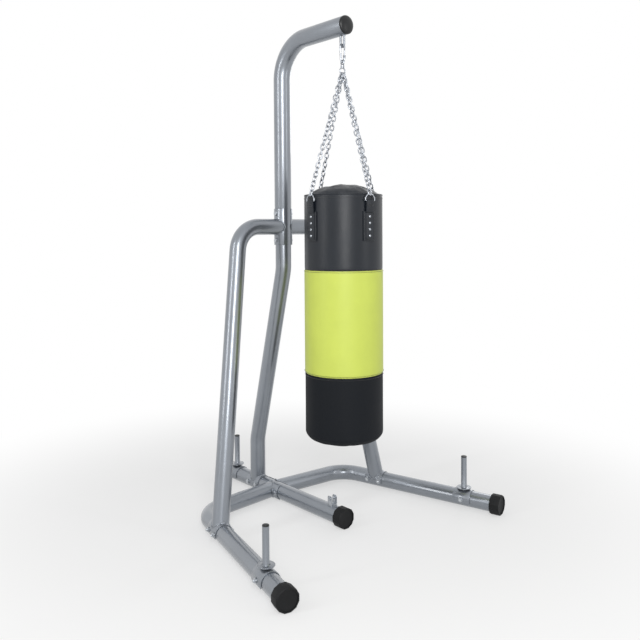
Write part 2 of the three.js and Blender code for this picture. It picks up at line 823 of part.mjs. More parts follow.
// A strap in the bag's frame, on the side that faces +X.
function strap() {
  const patchSpan = patchWidth / bagRadius;
  const shape = new THREE.Shape();
  shape.absarc(0, 0, patchInner + plate, -patchSpan / 2, patchSpan / 2, false);
  shape.absarc(0, 0, patchInner, patchSpan / 2, -patchSpan / 2, true);
  const centre = vec(0, 0, (patchTopZ + patchBottomZ) / 2);
  const patch = profileSolid(shape, patchHeight, centre, rightward, backward, up, 2);
  const webHeight = dRingBarZ - patchTopZ + plate;
  const web = new THREE.BoxGeometry(loopRadius * 2, strapWidth, webHeight);
  web.translate(dRingOffset, 0, patchTopZ - plate + webHeight / 2);
  const half = strapWidth / 2;
  const loop = rod(vec(dRingOffset, -half, dRingBarZ), vec(dRingOffset, half, dRingBarZ), loopRadius);
  const bore = rod(vec(dRingOffset, -strapWidth, dRingBarZ), vec(dRingOffset, strapWidth, dRingBarZ),
    dRingWire + seatGap);
  let solid = patch.add(solidFrom(web)).add(loop).subtract(bore);
  for (let i = 0; i < rivetCount; i++) {
    const z = centre.z + (i - (rivetCount - 1) / 2) * rivetSpacing;
    const start = vec(patchInner + plate / 2, 0, z);
    solid = solid.add(rod(start, vec(patchInner + plate + rivetHeight, 0, z), rivetRadius, boltSides));
  }
  return solid;
}

function dRingSolid() {
  const half = dRingWidth / 2 - dRingWire;
  const rise = dRingHeight - dRingWire * 2;
  const points = [vec(dRingOffset, -half, dRingBarZ), vec(dRingOffset, half, dRingBarZ)];
  for (let step = 1; step < dRingSteps; step++) {
    const angle = (step * Math.PI) / dRingSteps;
    points.push(vec(dRingOffset, half * Math.cos(angle), dRingBarZ + rise * Math.sin(angle)));
  }
  const loop = [];
  points.forEach((point, i) => {
    const next = points[(i + 1) % points.length];
    loop.push(rod(point, next, dRingWire, wireSides));
  });
  return loop.reduce((whole, piece) => whole.add(piece));
}

// A chain leg, from the top of its D-ring to the underside of the swivel's ring.
function chainLeg(lift) {
  const top = vec(chainTopOffset, 0, ringZ - ringBend - swivelWire - seatGap + lift);
  const foot = vec(dRingOffset, 0, dRingBarZ + dRingHeight - dRingWire + seatGap);
  return rod(foot, top, chainRadius, wireSides);
}

// ---- assembly ----
const group = new THREE.Group();

function addPiece(parent, name, solid, material) {
  const mesh = new THREE.Mesh(geometryFrom(solid), material);
  mesh.name = name;
  parent.add(mesh);
}

function buildBase() {
  addPiece(group, 'middle_base_tube', middleBaseTube(), silverPaint);
  for (const side of ['left', 'right']) {
    addPiece(group, `${side}_base_tube`, sideBaseTube(side), silverPaint);
    addPiece(group, `${side}_arch_tube`, archTube(side), silverPaint);
    const { foot } = legPoints(side);
    addPiece(group, `${side}_foot_cap`, footCap(foot, legAlong(side)), blackRubber);
  }
  const front = vec(0, middleFrontY, axisZ);
  const rear = vec(0, middleRearY, axisZ);
  addPiece(group, 'front_foot_cap', footCap(front, vec(0, -1, 0)), blackRubber);
  addPiece(group, 'rear_foot_cap', footCap(rear, vec(0, 1, 0)), blackRubber);
}

function buildPost() {
  addPiece(group, 'lower_post', lowerPost(), silverPaint);
  addPiece(group, 'upper_post_arm', upperPostAndArm(), silverPaint);
  addPiece(group, 'arm_end_plug', armEndPlug(), blackPlastic);
  addPiece(group, 'hanger_eye', hangerEye(), silverPaint);
}

function buildPegs() {
  const places = {
    left: sidePegPlace('left'),
    right: sidePegPlace('right'),
    rear: rearPegPlace,
  };
  for (const [name, place] of Object.entries(places)) {
    const across = vec(place.along.y, -place.along.x, 0);
    addPiece(group, `${name}_plate_peg`, platePeg(place), silverPaint);
    addPiece(group, `${name}_peg_cap`, pegCap(place), blackPlastic);
    addPiece(group, `${name}_peg_bolt`, through(place.centre, across, saddleOuter), zincSteel);
  }
  addPiece(group, 'tether_bracket', tetherBracket(), zincSteel);
  addPiece(group, 'tether_pin', tetherPin(), zincSteel);
}

function buildBolts() {
  const ends = ['front', 'rear'];
  crossBolts.forEach((centre, i) => {
    addPiece(group, `crossing_bolt_${ends[i]}`, through(centre, rightward, saddleOuter), zincSteel);
  });
  postFootBolts.forEach((centre, i) => {
    addPiece(group, `post_foot_bolt_${ends[i]}`, through(centre, rightward, saddleOuter), zincSteel);
  });
  archBolts.forEach((centre, i) => {
    const seat = sleeveOuter + seatGap + plate;
    addPiece(group, `arch_bolt_${['lower', 'upper'][i]}`, through(centre, rightward, seat), zincSteel);
  });
  for (const side of ['left', 'right']) {
    alongLegBolts(side).forEach((centre, i) => {
      const name = `${side}_arch_foot_bolt_${['rear', 'front'][i]}`;
      addPiece(group, name, through(centre, acrossLeg(side), saddleOuter), zincSteel);
    });
  }
}

function buildHanger() {
  addPiece(group, 'snap_hook', snapHook(), chrome);
  addPiece(group, 'hook_gate', hookGate(), chrome);
  addPiece(group, 'swivel_eye', swivelUpper(), chrome);
}

function buildBag() {
  const bag = new THREE.Group();
  bag.position.copy(hangPoint);
  bag.rotation.z = THREE.MathUtils.degToRad(bagYaw);
  addPiece(bag, 'swivel_ring', swivelRing(), chrome);
  addPiece(bag, 'bag_upper_panel', bagShell(bagRadius, upperSeamZ + seatGap, bagTopZ), blackVinyl);
  const bandRadius = bagRadius + bandProud;
  addPiece(bag, 'bag_green_band', bagShell(bandRadius, lowerSeamZ, upperSeamZ), greenVinyl);
  addPiece(bag, 'bag_lower_panel', bagLowerPanel(), blackVinyl);
  addPiece(bag, 'bag_foam_liner', bagLiner(), foam);
  addPiece(bag, 'bag_filling', bagFilling(), rags);
  addPiece(bag, 'bag_top_cover', bagTopCover(), blackVinyl);
  for (let i = 0; i < strapCount; i++) {
    const arm = new THREE.Group();
    arm.rotation.z = (i * Math.PI * 2) / strapCount;
    const chain = chainLeg(i % 2 === 0 ? 0 : chainSideLift);
    addPiece(arm, `${strapNames[i]}_strap`, strap(), blackVinyl);
    addPiece(arm, `${strapNames[i]}_d_ring`, dRingSolid(), chrome);
    addPiece(arm, `${strapNames[i]}_chain`, chain, chrome);
    bag.add(arm);
  }
  group.add(bag);
}

buildBase();
buildPost();
buildPegs();
buildBolts();
buildHanger();
buildBag();

// The origin goes to the middle of the footprint, on the floor.
const footprint = new THREE.Box3().setFromObject(group, true);
const middle = footprint.getCenter(new THREE.Vector3());
group.position.set(-middle.x, -middle.y, -footprint.min.z);

export default group;
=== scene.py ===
"""A punching bag on its free-standing tube stand: the visible pieces, their finishes and the studio."""

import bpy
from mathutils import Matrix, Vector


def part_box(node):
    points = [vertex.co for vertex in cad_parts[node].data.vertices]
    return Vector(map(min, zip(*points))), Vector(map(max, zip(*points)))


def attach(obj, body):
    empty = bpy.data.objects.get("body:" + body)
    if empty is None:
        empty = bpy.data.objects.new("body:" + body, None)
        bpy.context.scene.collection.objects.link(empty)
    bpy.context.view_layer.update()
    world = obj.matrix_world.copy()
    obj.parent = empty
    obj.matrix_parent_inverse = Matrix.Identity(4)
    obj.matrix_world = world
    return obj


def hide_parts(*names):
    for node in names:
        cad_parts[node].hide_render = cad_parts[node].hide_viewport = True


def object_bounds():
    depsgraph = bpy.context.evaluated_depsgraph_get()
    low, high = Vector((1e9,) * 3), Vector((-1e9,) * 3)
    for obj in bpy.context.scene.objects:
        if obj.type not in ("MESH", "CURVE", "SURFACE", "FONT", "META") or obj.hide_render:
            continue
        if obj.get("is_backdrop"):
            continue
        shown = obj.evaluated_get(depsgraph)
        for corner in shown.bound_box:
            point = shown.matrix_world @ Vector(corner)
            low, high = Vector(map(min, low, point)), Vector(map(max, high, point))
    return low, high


bl_info = {
    "name": "Punching Bag on Stand",
    "version": (1, 0, 0),
    "blender": (4, 5, 0),
    "location": "View3D > Sidebar > Punching Bag",
    "description": "Builds a hanging punching bag and the tube stand that carries it",
    "category": "Add Mesh",
}

import math

import bmesh
import bpy
from bpy.props import FloatProperty, FloatVectorProperty, IntProperty, PointerProperty
from mathutils import Matrix, Vector, noise

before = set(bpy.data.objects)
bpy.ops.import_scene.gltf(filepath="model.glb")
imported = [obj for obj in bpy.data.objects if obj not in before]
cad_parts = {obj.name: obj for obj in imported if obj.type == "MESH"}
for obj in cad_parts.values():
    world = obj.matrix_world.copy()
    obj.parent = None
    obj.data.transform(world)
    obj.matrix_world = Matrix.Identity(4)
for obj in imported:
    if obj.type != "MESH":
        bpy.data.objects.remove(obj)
cad_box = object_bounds()

MM = 0.001
SIDES = ("left", "right")
STRAPS = ("right", "rear", "left", "front")
TUBE_SIDES = 40
WIRE_SIDES = 12
BEND_STEP = math.radians(5)
LATHE_STEPS = 32
CREASE = math.radians(32)

# The shape is worked out in millimetres, in the stand's own coordinates. They differ from the frame's
# only by the way along Y to the middle of the footprint.
HANG_Y = -480.0


def box_middle(node):
    low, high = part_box(node)
    return (low + high) / 2 / MM


FRAME_SHIFT = box_middle("hanger_eye").y - HANG_Y
TO_FRAME = Matrix.Scale(MM, 4) @ Matrix.Translation((0, FRAME_SHIFT, 0))


def box_low(node):
    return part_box(node)[0] / MM


def box_high(node):
    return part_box(node)[1] / MM


# ---- sizes and colours that a user may change ----


def length(name, description, millimetres):
    """A length property with its default given in millimetres."""
    about = {"name": name, "description": description, "unit": "LENGTH", "precision": 4}
    return FloatProperty(default=millimetres * MM, min=0.0, **about)


def linear(code):
    """An sRGB hex colour as linear red, green and blue."""
    shares = [int(code[i : i + 2], 16) / 255 for i in (1, 3, 5)]
    return [c / 12.92 if c <= 0.04045 else ((c + 0.055) / 1.055) ** 2.4 for c in shares]


def colour(name, description, code):
    """A colour property with its default given as an sRGB hex colour."""
    about = {"name": name, "description": description, "subtype": "COLOR"}
    return FloatVectorProperty(default=linear(code), size=3, min=0.0, max=1.0, **about)


class StandSizes(bpy.types.PropertyGroup):
    """Sizes of the tube frame and its fittings."""

    tube_radius: length("Tube radius", "Outer radius of the frame tube", 35)
    tube_wall: length("Tube wall", "Wall of the frame tube", 2)
    fit: length("Fit", "Gap between pieces that rest on each other", 0.3)
    plate: length("Saddle plate", "Thickness of the saddles", 3)
    corner_bend: length("Corner bend", "Bend radius of the base corners", 125)
    arch_bend: length("Arch bend", "Bend radius of the arch's shoulders", 118)
    post_bend: length("Post bend", "Bend radius of the post's two slight bends", 170)
    arm_bend: length("Arm bend", "Bend radius where the post turns into the arm", 158)
    cap_length: length("Cap length", "Length of a rubber foot cap", 43)
    peg_radius: length("Peg radius", "Radius of a weight-plate peg", 12.5)
    flange_radius: length("Flange radius", "Radius of the disc at a peg's foot", 32)
    bolt_radius: length("Bolt radius", "Radius of the frame bolts", 5)
    bolt_head: length("Bolt head", "Corner radius of a frame bolt's head", 9.5)
    weld: length("Weld", "Half width of a weld bead", 3.2)


class BagSizes(bpy.types.PropertyGroup):
    """Sizes of the bag and of what it hangs by."""

    vinyl: length("Vinyl", "Thickness of the bag's skin", 3)
    band_proud: length("Band proud", "How far the green band stands out from the black panels", 1.5)
    swell: length("Swell", "How far the filling may push the skin out between two seams", 3)
    strap_width: length("Strap width", "Width of the webbing through a D-ring", 38)
    patch_width: length("Patch width", "Width of a strap's riveted patch", 58)
    chain_wire: length("Chain wire", "Radius of the chain's wire", 2.6)
    link_width: length("Link width", "Outside width of a chain link", 20)
    link_count: IntProperty(name="Links", description="Links in each chain", default=27, min=4)
    stitch: length("Stitch", "Length from one stitch to the next", 6)


class Finishes(bpy.types.PropertyGroup):
    """Colours of the finishes."""

    silver: colour("Silver enamel", "Metallic enamel of the frame", "#868b92")
    zinc: colour("Zinc", "Bright zinc plating of the bolts", "#b9bdc2")
    chrome: colour("Chrome", "Nickel and chrome plating of chains and hook", "#a9adb3")
    rubber: colour("Rubber", "Moulded rubber of the foot caps", "#0d0e10")
    plastic: colour("Plastic", "Moulded plastic of plugs and peg caps", "#121416")
    black: colour("Black vinyl", "Coated fabric of the black panels", "#10161e")
    green: colour("Green vinyl", "Coated fabric of the band", "#c3d058")
    thread: colour("Thread", "Sewing thread", "#15171a")
    foam: colour("Foam", "Foam liner", "#d8d2c0")
    rags: colour("Rags", "Cut cloth filling", "#8c8f94")
    floor: colour("Floor", "Studio floor", "#f4f4f4")


def millimetres(group):
    """The group's lengths by name, in millimetres."""
    lengths = {name: getattr(group, name) for name in group.__annotations__}
    return {name: value if isinstance(value, int) else value / MM for name, value in lengths.items()}


class Sizes:
    """All lengths as attributes, in millimetres, with those that follow from them."""

    def __init__(self, context):
        self.__dict__.update(millimetres(context.scene.stand_sizes))
        self.__dict__.update(millimetres(context.scene.bag_sizes))
        self.axis_z = box_high("front_foot_cap").z / 2
        self.over_tube = self.tube_radius + self.fit
        self.saddle_outer = self.over_tube + self.plate
        self.sleeve_outer = self.over_tube + self.tube_wall
        self.bag_bottom = box_low("bag_lower_panel").z
        self.lower_seam = box_low("bag_green_band").z
        self.upper_seam = box_high("bag_green_band").z
        self.bag_top = box_high("bag_upper_panel").z
        self.cover_top = box_high("bag_top_cover").z
        self.bag_radius = (box_high("bag_upper_panel").x - box_low("bag_upper_panel").x) / 2


# ---- the frame's route, in the stand's own millimetres ----
CORNER = Vector((401, -41))
FOOT = Vector((579.9, -793.5))
CROSSING_Y = -8.0
MIDDLE_FRONT_Y = -449.0
MIDDLE_REAR_Y = 359.0
CAP_COVER = 31.0
ARCH_FOOT_RUN = 196.7
ARCH_SHOULDER = Vector((239, -90, 1244))
POST_ROUTE = ((115, 42), (115, 249), (-90, 1055), (-90, 1335))
ARM_ROUTE = ((-90, 1165), (-90, 2047), (-500, 2047))
FOOT_SADDLE_HALF = 45.0
CROSS_SADDLE_HALF = 66.0
POST_SADDLE_HALF = 80.0
PEG_SADDLE_HALF = 40.0
EAR = 13.0
BAG_YAW = math.radians(-4.5)
BAG_PLACE = Matrix.Translation((0, HANG_Y, 0)) @ Matrix.Rotation(BAG_YAW, 4, "Z")
UP = Vector((0, 0, 1))
RIGHT = Vector((1, 0, 0))
BACK = Vector((0, 1, 0))


def sign_of(side):
    return -1 if side == "left" else 1


def leg(side, sizes):
    """Corner, foot and direction of a side tube's long leg."""
    corner, foot = (Vector((sign_of(side) * p.x, p.y, sizes.axis_z)) for p in (CORNER, FOOT))
    return corner, foot, (foot - corner).normalized()


def across_of(along):
    """The level direction at right angles to a level tube."""
    return Vector((along.y, -along.x, 0))


# ---- mesh tools: each returns a bmesh of its own ----


def mesh_from(bm, name):
    """A new mesh from a bmesh, which is freed."""
    mesh = bpy.data.meshes.new(name)
    bm.to_mesh(mesh)
    bm.free()
    return mesh


def join(*parts):
    """One bmesh from several, which are freed."""
    whole = bmesh.new()
    for part in parts:
        mesh = mesh_from(part, "part")
        whole.from_mesh(mesh)
        bpy.data.meshes.remove(mesh)
    return whole


def closed(bm):
    """Welds a shell's doubles and turns its faces outwards."""
    bmesh.ops.remove_doubles(bm, verts=bm.verts, dist=0.001)
    bmesh.ops.recalc_face_normals(bm, faces=bm.faces)
    return bm


def round_edges(bm, edges, width, segments=2, **more):
    """Rounds edges by a width."""
    more.update(offset=width, segments=segments, profile=0.5, affect="EDGES", material=-1)
    bmesh.ops.bevel(bm, geom=edges, **more)
    return bm


def soften(bm, width, angle=math.radians(40), segments=2):
    """Rounds the edges that are sharper than an angle."""
    bm.normal_update()
    sharp = [e for e in bm.edges if e.is_manifold and e.calc_face_angle(0) > angle]
    return round_edges(bm, sharp, width, segments, clamp_overlap=True)


def verts_in(geom):
    """The vertices in an operator's result."""
    return [g for g in geom if isinstance(g, bmesh.types.BMVert)]


def polyline(bm, points, looped=False):
    """Vertices at points and the edges that join them in a row."""
    verts = [bm.verts.new(point) for point in points]
    ends = verts[1:] + verts[:1] if looped else verts[1:]
    return verts, [bm.edges.new(pair) for pair in zip(verts, ends)]


def push_edges(bm, edges, offset):
    """Draws edges out by an offset."""
    grown = bmesh.ops.extrude_edge_only(bm, edges=edges)["geom"]
    bmesh.ops.translate(bm, vec=offset, verts=verts_in(grown))


def push_faces(bm, faces, offset):
    """Draws faces out by an offset."""
    grown = bmesh.ops.extrude_face_region(bm, geom=faces)["geom"]
    bmesh.ops.translate(bm, vec=offset, verts=verts_in(grown))


def ring_edges(verts):
    """The edges that join a ring's own vertices."""
    ring = set(verts)
    return list(dict.fromkeys(e for v in verts for e in v.link_edges if e.other_vert(v) in ring))


def bent_path(corners, bends):
    """A path of straight runs with a round bend at each inner corner."""
    points = [corners[0].copy()]
    for before, corner, after, radius in zip(corners, corners[1:], corners[2:], bends):
        into = (corner - before).normalized()
        out = (after - corner).normalized()
        turn = into.angle(out)
        start = corner - into * radius * math.tan(turn / 2)
        inward = (out - into * into.dot(out)).normalized()
        centre = start + inward * radius
        steps = max(2, round(turn / BEND_STEP))
        for step in range(steps + 1):
            angle = turn * step / steps
            points.append(centre - inward * radius * math.cos(angle) + into * radius * math.sin(angle))
    points.append(corners[-1].copy())
    return points


def arc(centre, start, end, radius, steps, right=RIGHT, up=UP):
    """Points on a circle from one angle to another, in degrees, in the plane of right and up."""
    angles = [math.radians(start + (end - start) * i / steps) for i in range(steps + 1)]
    return [centre + right * radius * math.cos(a) + up * radius * math.sin(a) for a in angles]


def frames_along(points, looped):
    """A placed, turned matrix at each point, with as little twist as the path allows."""
    last = len(points) - 1
    tangents = []
    for i, point in enumerate(points):
        before = points[i - 1] if looped or i > 0 else point
        after = points[(i + 1) % len(points)] if looped or i < last else point
        tangents.append((after - before).normalized())
    turn = tangents[0].to_track_quat("Z", "Y")
    frames = []
    for i, point in enumerate(points):
        if i > 0:
            turn = tangents[i - 1].rotation_difference(tangents[i]) @ turn
        frames.append(Matrix.Translation(point) @ turn.to_matrix().to_4x4())
    return frames


def sweep_into(bm, points, radii, sides, looped=False):
    """A round wall along a path, one ring for each point. Returns its first and last rings."""
    sized = [f @ Matrix.Scale(r, 4) for f, r in zip(frames_along(points, looped), radii)]
    first = bmesh.ops.create_circle(bm, segments=sides, radius=1, matrix=sized[0])["verts"]
    ring = first
    for before, after in zip(sized, sized[1:]):
        ring = verts_in(bmesh.ops.extrude_edge_only(bm, edges=ring_edges(ring))["geom"])
        bmesh.ops.transform(bm, matrix=after @ before.inverted(), verts=ring)
    if looped:
        bmesh.ops.bridge_loops(bm, edges=ring_edges(first) + ring_edges(ring))
    return first, ring


def wire(points, radius, sides=WIRE_SIDES, looped=False):
    """Round bar along a path, a ring if it is looped and closed at both ends if it isn't."""
    bm = bmesh.new()
    radii = radius if isinstance(radius, list) else [radius] * len(points)
    first, last = sweep_into(bm, points, radii, sides, looped)
    if not looped:
        for ring in (first, last):
            bmesh.ops.holes_fill(bm, edges=ring_edges(ring))
    return closed(bm)


def cope(verts, inward, axis_point, axis, radius):
    """Slides a tube's end vertices along the tube until they meet the round surface of another."""
    for vert in verts:
        offset = vert.co - axis_point
        offset -= axis * offset.dot(axis)
        pull = inward - axis * inward.dot(axis)
        b = offset.dot(pull)
        a = pull.length_squared
        root = math.sqrt(max(b * b - a * (offset.length_squared - radius * radius), 0))
        vert.co += inward * ((root - b) / a)


def pipe(points, radius, wall, start_mate=None, end_mate=None):
    """Tube with a wall, and its outer end loops. A mate is (point on its axis, its axis, its radius)."""
    bm = bmesh.new()
    pairs = []
    for r in (radius, radius - wall):
        first, last = sweep_into(bm, points, [r] * len(points), TUBE_SIDES)
        if start_mate:
            cope(first, (points[1] - points[0]).normalized(), *start_mate)
        if end_mate:
            cope(last, (points[-2] - points[-1]).normalized(), *end_mate)
        pairs.append((first, last))
    loops = [loop_order(ring) for ring in pairs[0]]
    for outer, inner in zip(*pairs):
        bmesh.ops.bridge_loops(bm, edges=ring_edges(outer) + ring_edges(inner))
    bmesh.ops.recalc_face_normals(bm, faces=bm.faces)
    return bm, loops


def loop_order(verts):
    """Places of a ring's vertices, one after the other round the ring."""
    ring = set(verts)
    walk = [verts[0]]
    while len(walk) < len(verts):
        steps = [e.other_vert(walk[-1]) for e in walk[-1].link_edges]
        walk.append(next(v for v in steps if v in ring and v not in walk))
    return [v.co.copy() for v in walk]


def resampled(loop, spacing):
    """A closed loop with evenly spaced points."""
    spans = [(b - a).length for a, b in zip(loop, loop[1:] + loop[:1])]
    count = max(12, round(sum(spans) / spacing))
    step = sum(spans) / count
    points = []
    at, i = 0.0, 0
    for k in range(count):
        while at + spans[i] < k * step:
            at += spans[i]
            i += 1
        share = (k * step - at) / spans[i]
        points.append(loop[i].lerp(loop[(i + 1) % len(loop)], share))
    return points


RIPPLE = 1.9  # half the length of one ripple of a weld
RIPPLE_DIP = 0.8  # a bead's width between two ripples, against its full width


def bead(loop, width):
    """Weld bead round a joint, with the ripples of the torch."""
    points = resampled(loop, RIPPLE)
    if len(points) % 2:
        points = resampled(loop, RIPPLE * len(points) / (len(points) + 1))
    radii = [width * (1.0 if i % 2 else RIPPLE_DIP) for i in range(len(points))]
    return wire(points, radii, sides=8, looped=True)


def lathe(profile, place=Matrix.Identity(4), steps=LATHE_STEPS, looped=False):
    """A (radius, height) profile turned about the Z axis of its place."""
    bm = bmesh.new()
    verts, edges = polyline(bm, [(radius, 0, height) for radius, height in profile], looped)
    whole = {"angle": math.tau, "steps": steps, "use_merge": True}
    bmesh.ops.spin(bm, geom=[*verts, *edges], cent=(0, 0, 0), axis=UP, **whole)
    closed(bm)
    bmesh.ops.transform(bm, matrix=place, verts=bm.verts)
    return bm


def dome(radius, height, low, steps):
    """Profile of a dome, from its edge to its top."""
    angles = [math.pi / 2 * i / steps for i in range(steps)]
    edge = [(radius * math.cos(a), low + height * math.sin(a)) for a in angles]
    return [*edge, (0, low + height)]


def facing(point, direction):
    """A place whose Z axis looks along a direction."""
    return Matrix.Translation(point) @ direction.to_track_quat("Z", "Y").to_matrix().to_4x4()


def block(size, centre, round_by):
    """Box with rounded edges."""
    bm = bmesh.new()
    place = Matrix.Translation(centre) @ Matrix.Diagonal((*size, 1))
    bmesh.ops.create_cube(bm, size=1, matrix=place)
    return soften(bm, round_by)


PLATE_ROUND = 0.8
WELDED_WRAP = math.radians(120)


def saddle(centre, along, outward, half, inner, plate, wrap=WELDED_WRAP, ear=0.0):
    """Plate bent round a tube. It covers the angle wrap about outward, and its ears run on straight."""
    bm = bmesh.new()
    low = centre - along * half
    start = Matrix.Rotation(-wrap / 2, 3, along) @ outward
    verts, edges = polyline(bm, [low + start * radius for radius in (inner, inner + plate)])
    steps = round(wrap / BEND_STEP)
    spun = bmesh.ops.spin(bm, geom=[*verts, *edges], cent=low, axis=along, angle=wrap, steps=steps)
    if ear:
        far = next(g for g in spun["geom_last"] if isinstance(g, bmesh.types.BMEdge))
        for end in (edges[0], far):
            push_edges(bm, [end], -outward * ear)
    push_faces(bm, list(bm.faces), along * half * 2)
    return soften(closed(bm), PLATE_ROUND)


def eared_saddle(centre, along, half, s):
    """Saddle over the top half of a base tube, with ears down its sides."""
    return saddle(centre, along, UP, half, s.over_tube, s.plate, math.pi, EAR)


HEAD_CROWN = 1.2
HEAD_ROUND = 0.35
THREAD_PITCH = 1.5
THREAD_DEPTH = 0.7
WASHER = 1.6
WASHER_REACH = 1.12  # against the head's corners
WASHER_ROUND = 0.3


def hexagon(point, direction, radius, height):
    """Hexagon of a bolt's head or nut, with its outer corners taken off."""
    bm = bmesh.new()
    place = facing(point + direction * height / 2, direction)
    sizes = {"radius1": radius, "radius2": radius, "depth": height}
    bmesh.ops.create_cone(bm, cap_ends=True, segments=6, matrix=place, **sizes)
    top = max(bm.faces, key=lambda f: f.calc_center_median().dot(direction))
    round_edges(bm, list(top.edges), HEAD_CROWN)
    return soften(bm, HEAD_ROUND, angle=math.radians(50))


def bolt(centre, across, seat, radius, head, tail=5.0, height=6.5):
    """Bolt done up through a tube, with its washers, its nut and the end of its thread."""
    nut = centre + across * seat
    profile = [(0, -seat), (radius, -seat), (radius, seat + height - 0.5)]
    z = seat + height
    while z < seat + height + tail - THREAD_PITCH:
        profile += [(radius - THREAD_DEPTH, z), (radius, z + THREAD_PITCH / 2)]
        z += THREAD_PITCH
    end = seat + height + tail
    profile += [(radius - THREAD_DEPTH, z), (radius - 1.2, end), (0, end)]
    edge = head * WASHER_REACH
    washer = [(radius, 0), (edge, 0), (edge, WASHER), (radius, WASHER)]
    places = [(nut, across), (centre - across * seat, -across)]
    washers = [lathe(washer, facing(*place), steps=24, looped=True) for place in places]
    heads = [hexagon(point + out * WASHER, out, head, height - WASHER) for point, out in places]
    shank = lathe(profile, facing(centre, across), steps=16)
    return join(shank, *[soften(ring, WASHER_ROUND) for ring in washers], *heads)


# ---- finished pieces ----


def make_piece(bm, name, body, material, slot, nodes=(), crease=CREASE):
    """Takes a bmesh in the stand's millimetres to a piece that rides on a body and stands for CAD nodes."""
    bmesh.ops.transform(bm, matrix=TO_FRAME, verts=bm.verts)
    mesh = mesh_from(bm, name)
    mesh.shade_smooth()
    mesh.set_sharp_from_angle(angle=crease)
    mesh.materials.append(material)
    piece = bpy.data.objects.new(name, mesh)
    bpy.context.scene.collection.objects.link(piece)
    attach(piece, body)
    if nodes:
        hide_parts(*nodes)
    return piece


# ---- materials ----


def add_node(tree, kind, settings=None, links=None):
    """Adds a node. Settings name its properties or its input sockets, and links its input sockets."""
    node = tree.nodes.new(kind)
    for key, value in (settings or {}).items():
        if isinstance(key, int) or key in node.inputs:
            node.inputs[key].default_value = value
        else:
            setattr(node, key, value)
    for key, socket in (links or {}).items():
        tree.links.new(socket, node.inputs[key])
    return node


def empty_material(name):
    """A material with an empty node tree, in place of any other of its name."""
    found = bpy.data.materials.get(name)
    if found:
        bpy.data.materials.remove(found)
    material = bpy.data.materials.new(name)
    material.use_nodes = True
    material.node_tree.nodes.clear()
    return material


def per(millimetre_size):
    """The texture scale at which one feature is about that many millimetres."""
    return 1 / (millimetre_size * MM)


PATTERNS = {
    # name: (node, its settings, its output)
    "noise": ("ShaderNodeTexNoise", {"Detail": 2.0}, "Fac"),
    "cells": ("ShaderNodeTexVoronoi", {}, "Distance"),
    "pebbles": ("ShaderNodeTexVoronoi", {"feature": "SMOOTH_F1", "Smoothness": 0.5}, "Distance"),
    "plies": ("ShaderNodeTexWave", {"bands_direction": "DIAGONAL"}, "Fac"),
}


def texture(tree, place, pattern, size, **more):
    """A pattern whose features are about a size in millimetres."""
    kind, settings, output = PATTERNS[pattern]
    return add_node(tree, kind, {**settings, **more, "Scale": per(size)}, {"Vector": place}).outputs[output]


def varied(tree, shader, blotch, base, spread):
    """Colour that follows a pattern a little lighter and darker than base."""
    ramp = add_node(tree, "ShaderNodeValToRGB", links={"Fac": blotch})
    for stop, share, position in zip(ramp.color_ramp.elements, (1 - spread, 1 + spread), (0.3, 0.7)):
        stop.position = position
        stop.color = (*[min(c * share, 1) for c in base], 1)
    tree.links.new(ramp.outputs["Color"], shader.inputs["Base Color"])


def bumps(tree, shader, place, layers):
    """Stacks bump layers, from the lowest up: (pattern, feature size, depth, strength, perhaps detail)."""
    normal = None
    for pattern, size, depth, strength, *detail in layers:
        more = {"Detail": detail[0]} if detail else {}
        links = {"Height": texture(tree, place, pattern, size, **more)}
        if normal:
            links["Normal"] = normal
        settings = {"Distance": depth * MM, "Strength": strength}
        normal = add_node(tree, "ShaderNodeBump", settings, links).outputs["Normal"]
    tree.links.new(normal, shader.inputs["Normal"])


def surface(name, base, spread, patch, layers, roughness=None, **values):
    """A material whose colour drifts by a share from base over patches of a size in millimetres.

    Roughness follows the same drift between two values. Layers are the bumps.
    """
    material = empty_material(name)
    tree = material.node_tree
    shader = add_node(tree, "ShaderNodeBsdfPrincipled", {k.replace("_", " "): v for k, v in values.items()})
    add_node(tree, "ShaderNodeOutputMaterial", links={"Surface": shader.outputs["BSDF"]})
    place = add_node(tree, "ShaderNodeTexCoord").outputs["Object"]
    blotch = texture(tree, place, "noise", patch, Detail=5.0, Roughness=0.6)
    varied(tree, shader, blotch, base, spread)
    if roughness:
        settings = dict(zip(("To Min", "To Max"), roughness))
        ranged = add_node(tree, "ShaderNodeMapRange", settings, {"Value": blotch})
        tree.links.new(ranged.outputs["Result"], shader.inputs["Roughness"])
    bumps(tree, shader, place, layers)
    return material


def silver_enamel(finishes):
    """Sprayed metallic enamel on steel: aluminium flakes under a clear coat, with slight orange peel."""
    coat = {"Coat_Weight": 0.7, "Coat_Roughness": 0.08, "Coat_IOR": 1.5}
    # Flakes are about 0.05 mm. They are drawn 0.9 mm wide so that they show.
    layers = [("noise", 3.5, 0.12, 0.18), ("cells", 0.9, 0.03, 0.12)]
    name = "silver_metallic_enamel_sprayed"
    return surface(name, finishes.silver, 0.05, 160, layers, (0.28, 0.38), Metallic=0.8, **coat)


def zinc_plate(finishes):
    """Bright zinc on turned steel: metal with a faint drift in tone and fine tool marks."""
    layers = [("noise", 1.2, 0.05, 0.2)]
    name = "bright_zinc_plated_steel"
    return surface(name, finishes.zinc, 0.12, 9, layers, (0.24, 0.42), Metallic=1.0)


def chrome_plate(finishes):
    """Chrome over welded steel wire: near mirror bright, with colour and shine that drift at random in
    small patches.
    """
    layers = [("noise", 2.5, 0.06, 0.15)]
    name = "chrome_plated_steel_wire"
    return surface(name, finishes.chrome, 0.4, 6, layers, (0.1, 0.26), Metallic=1.0)


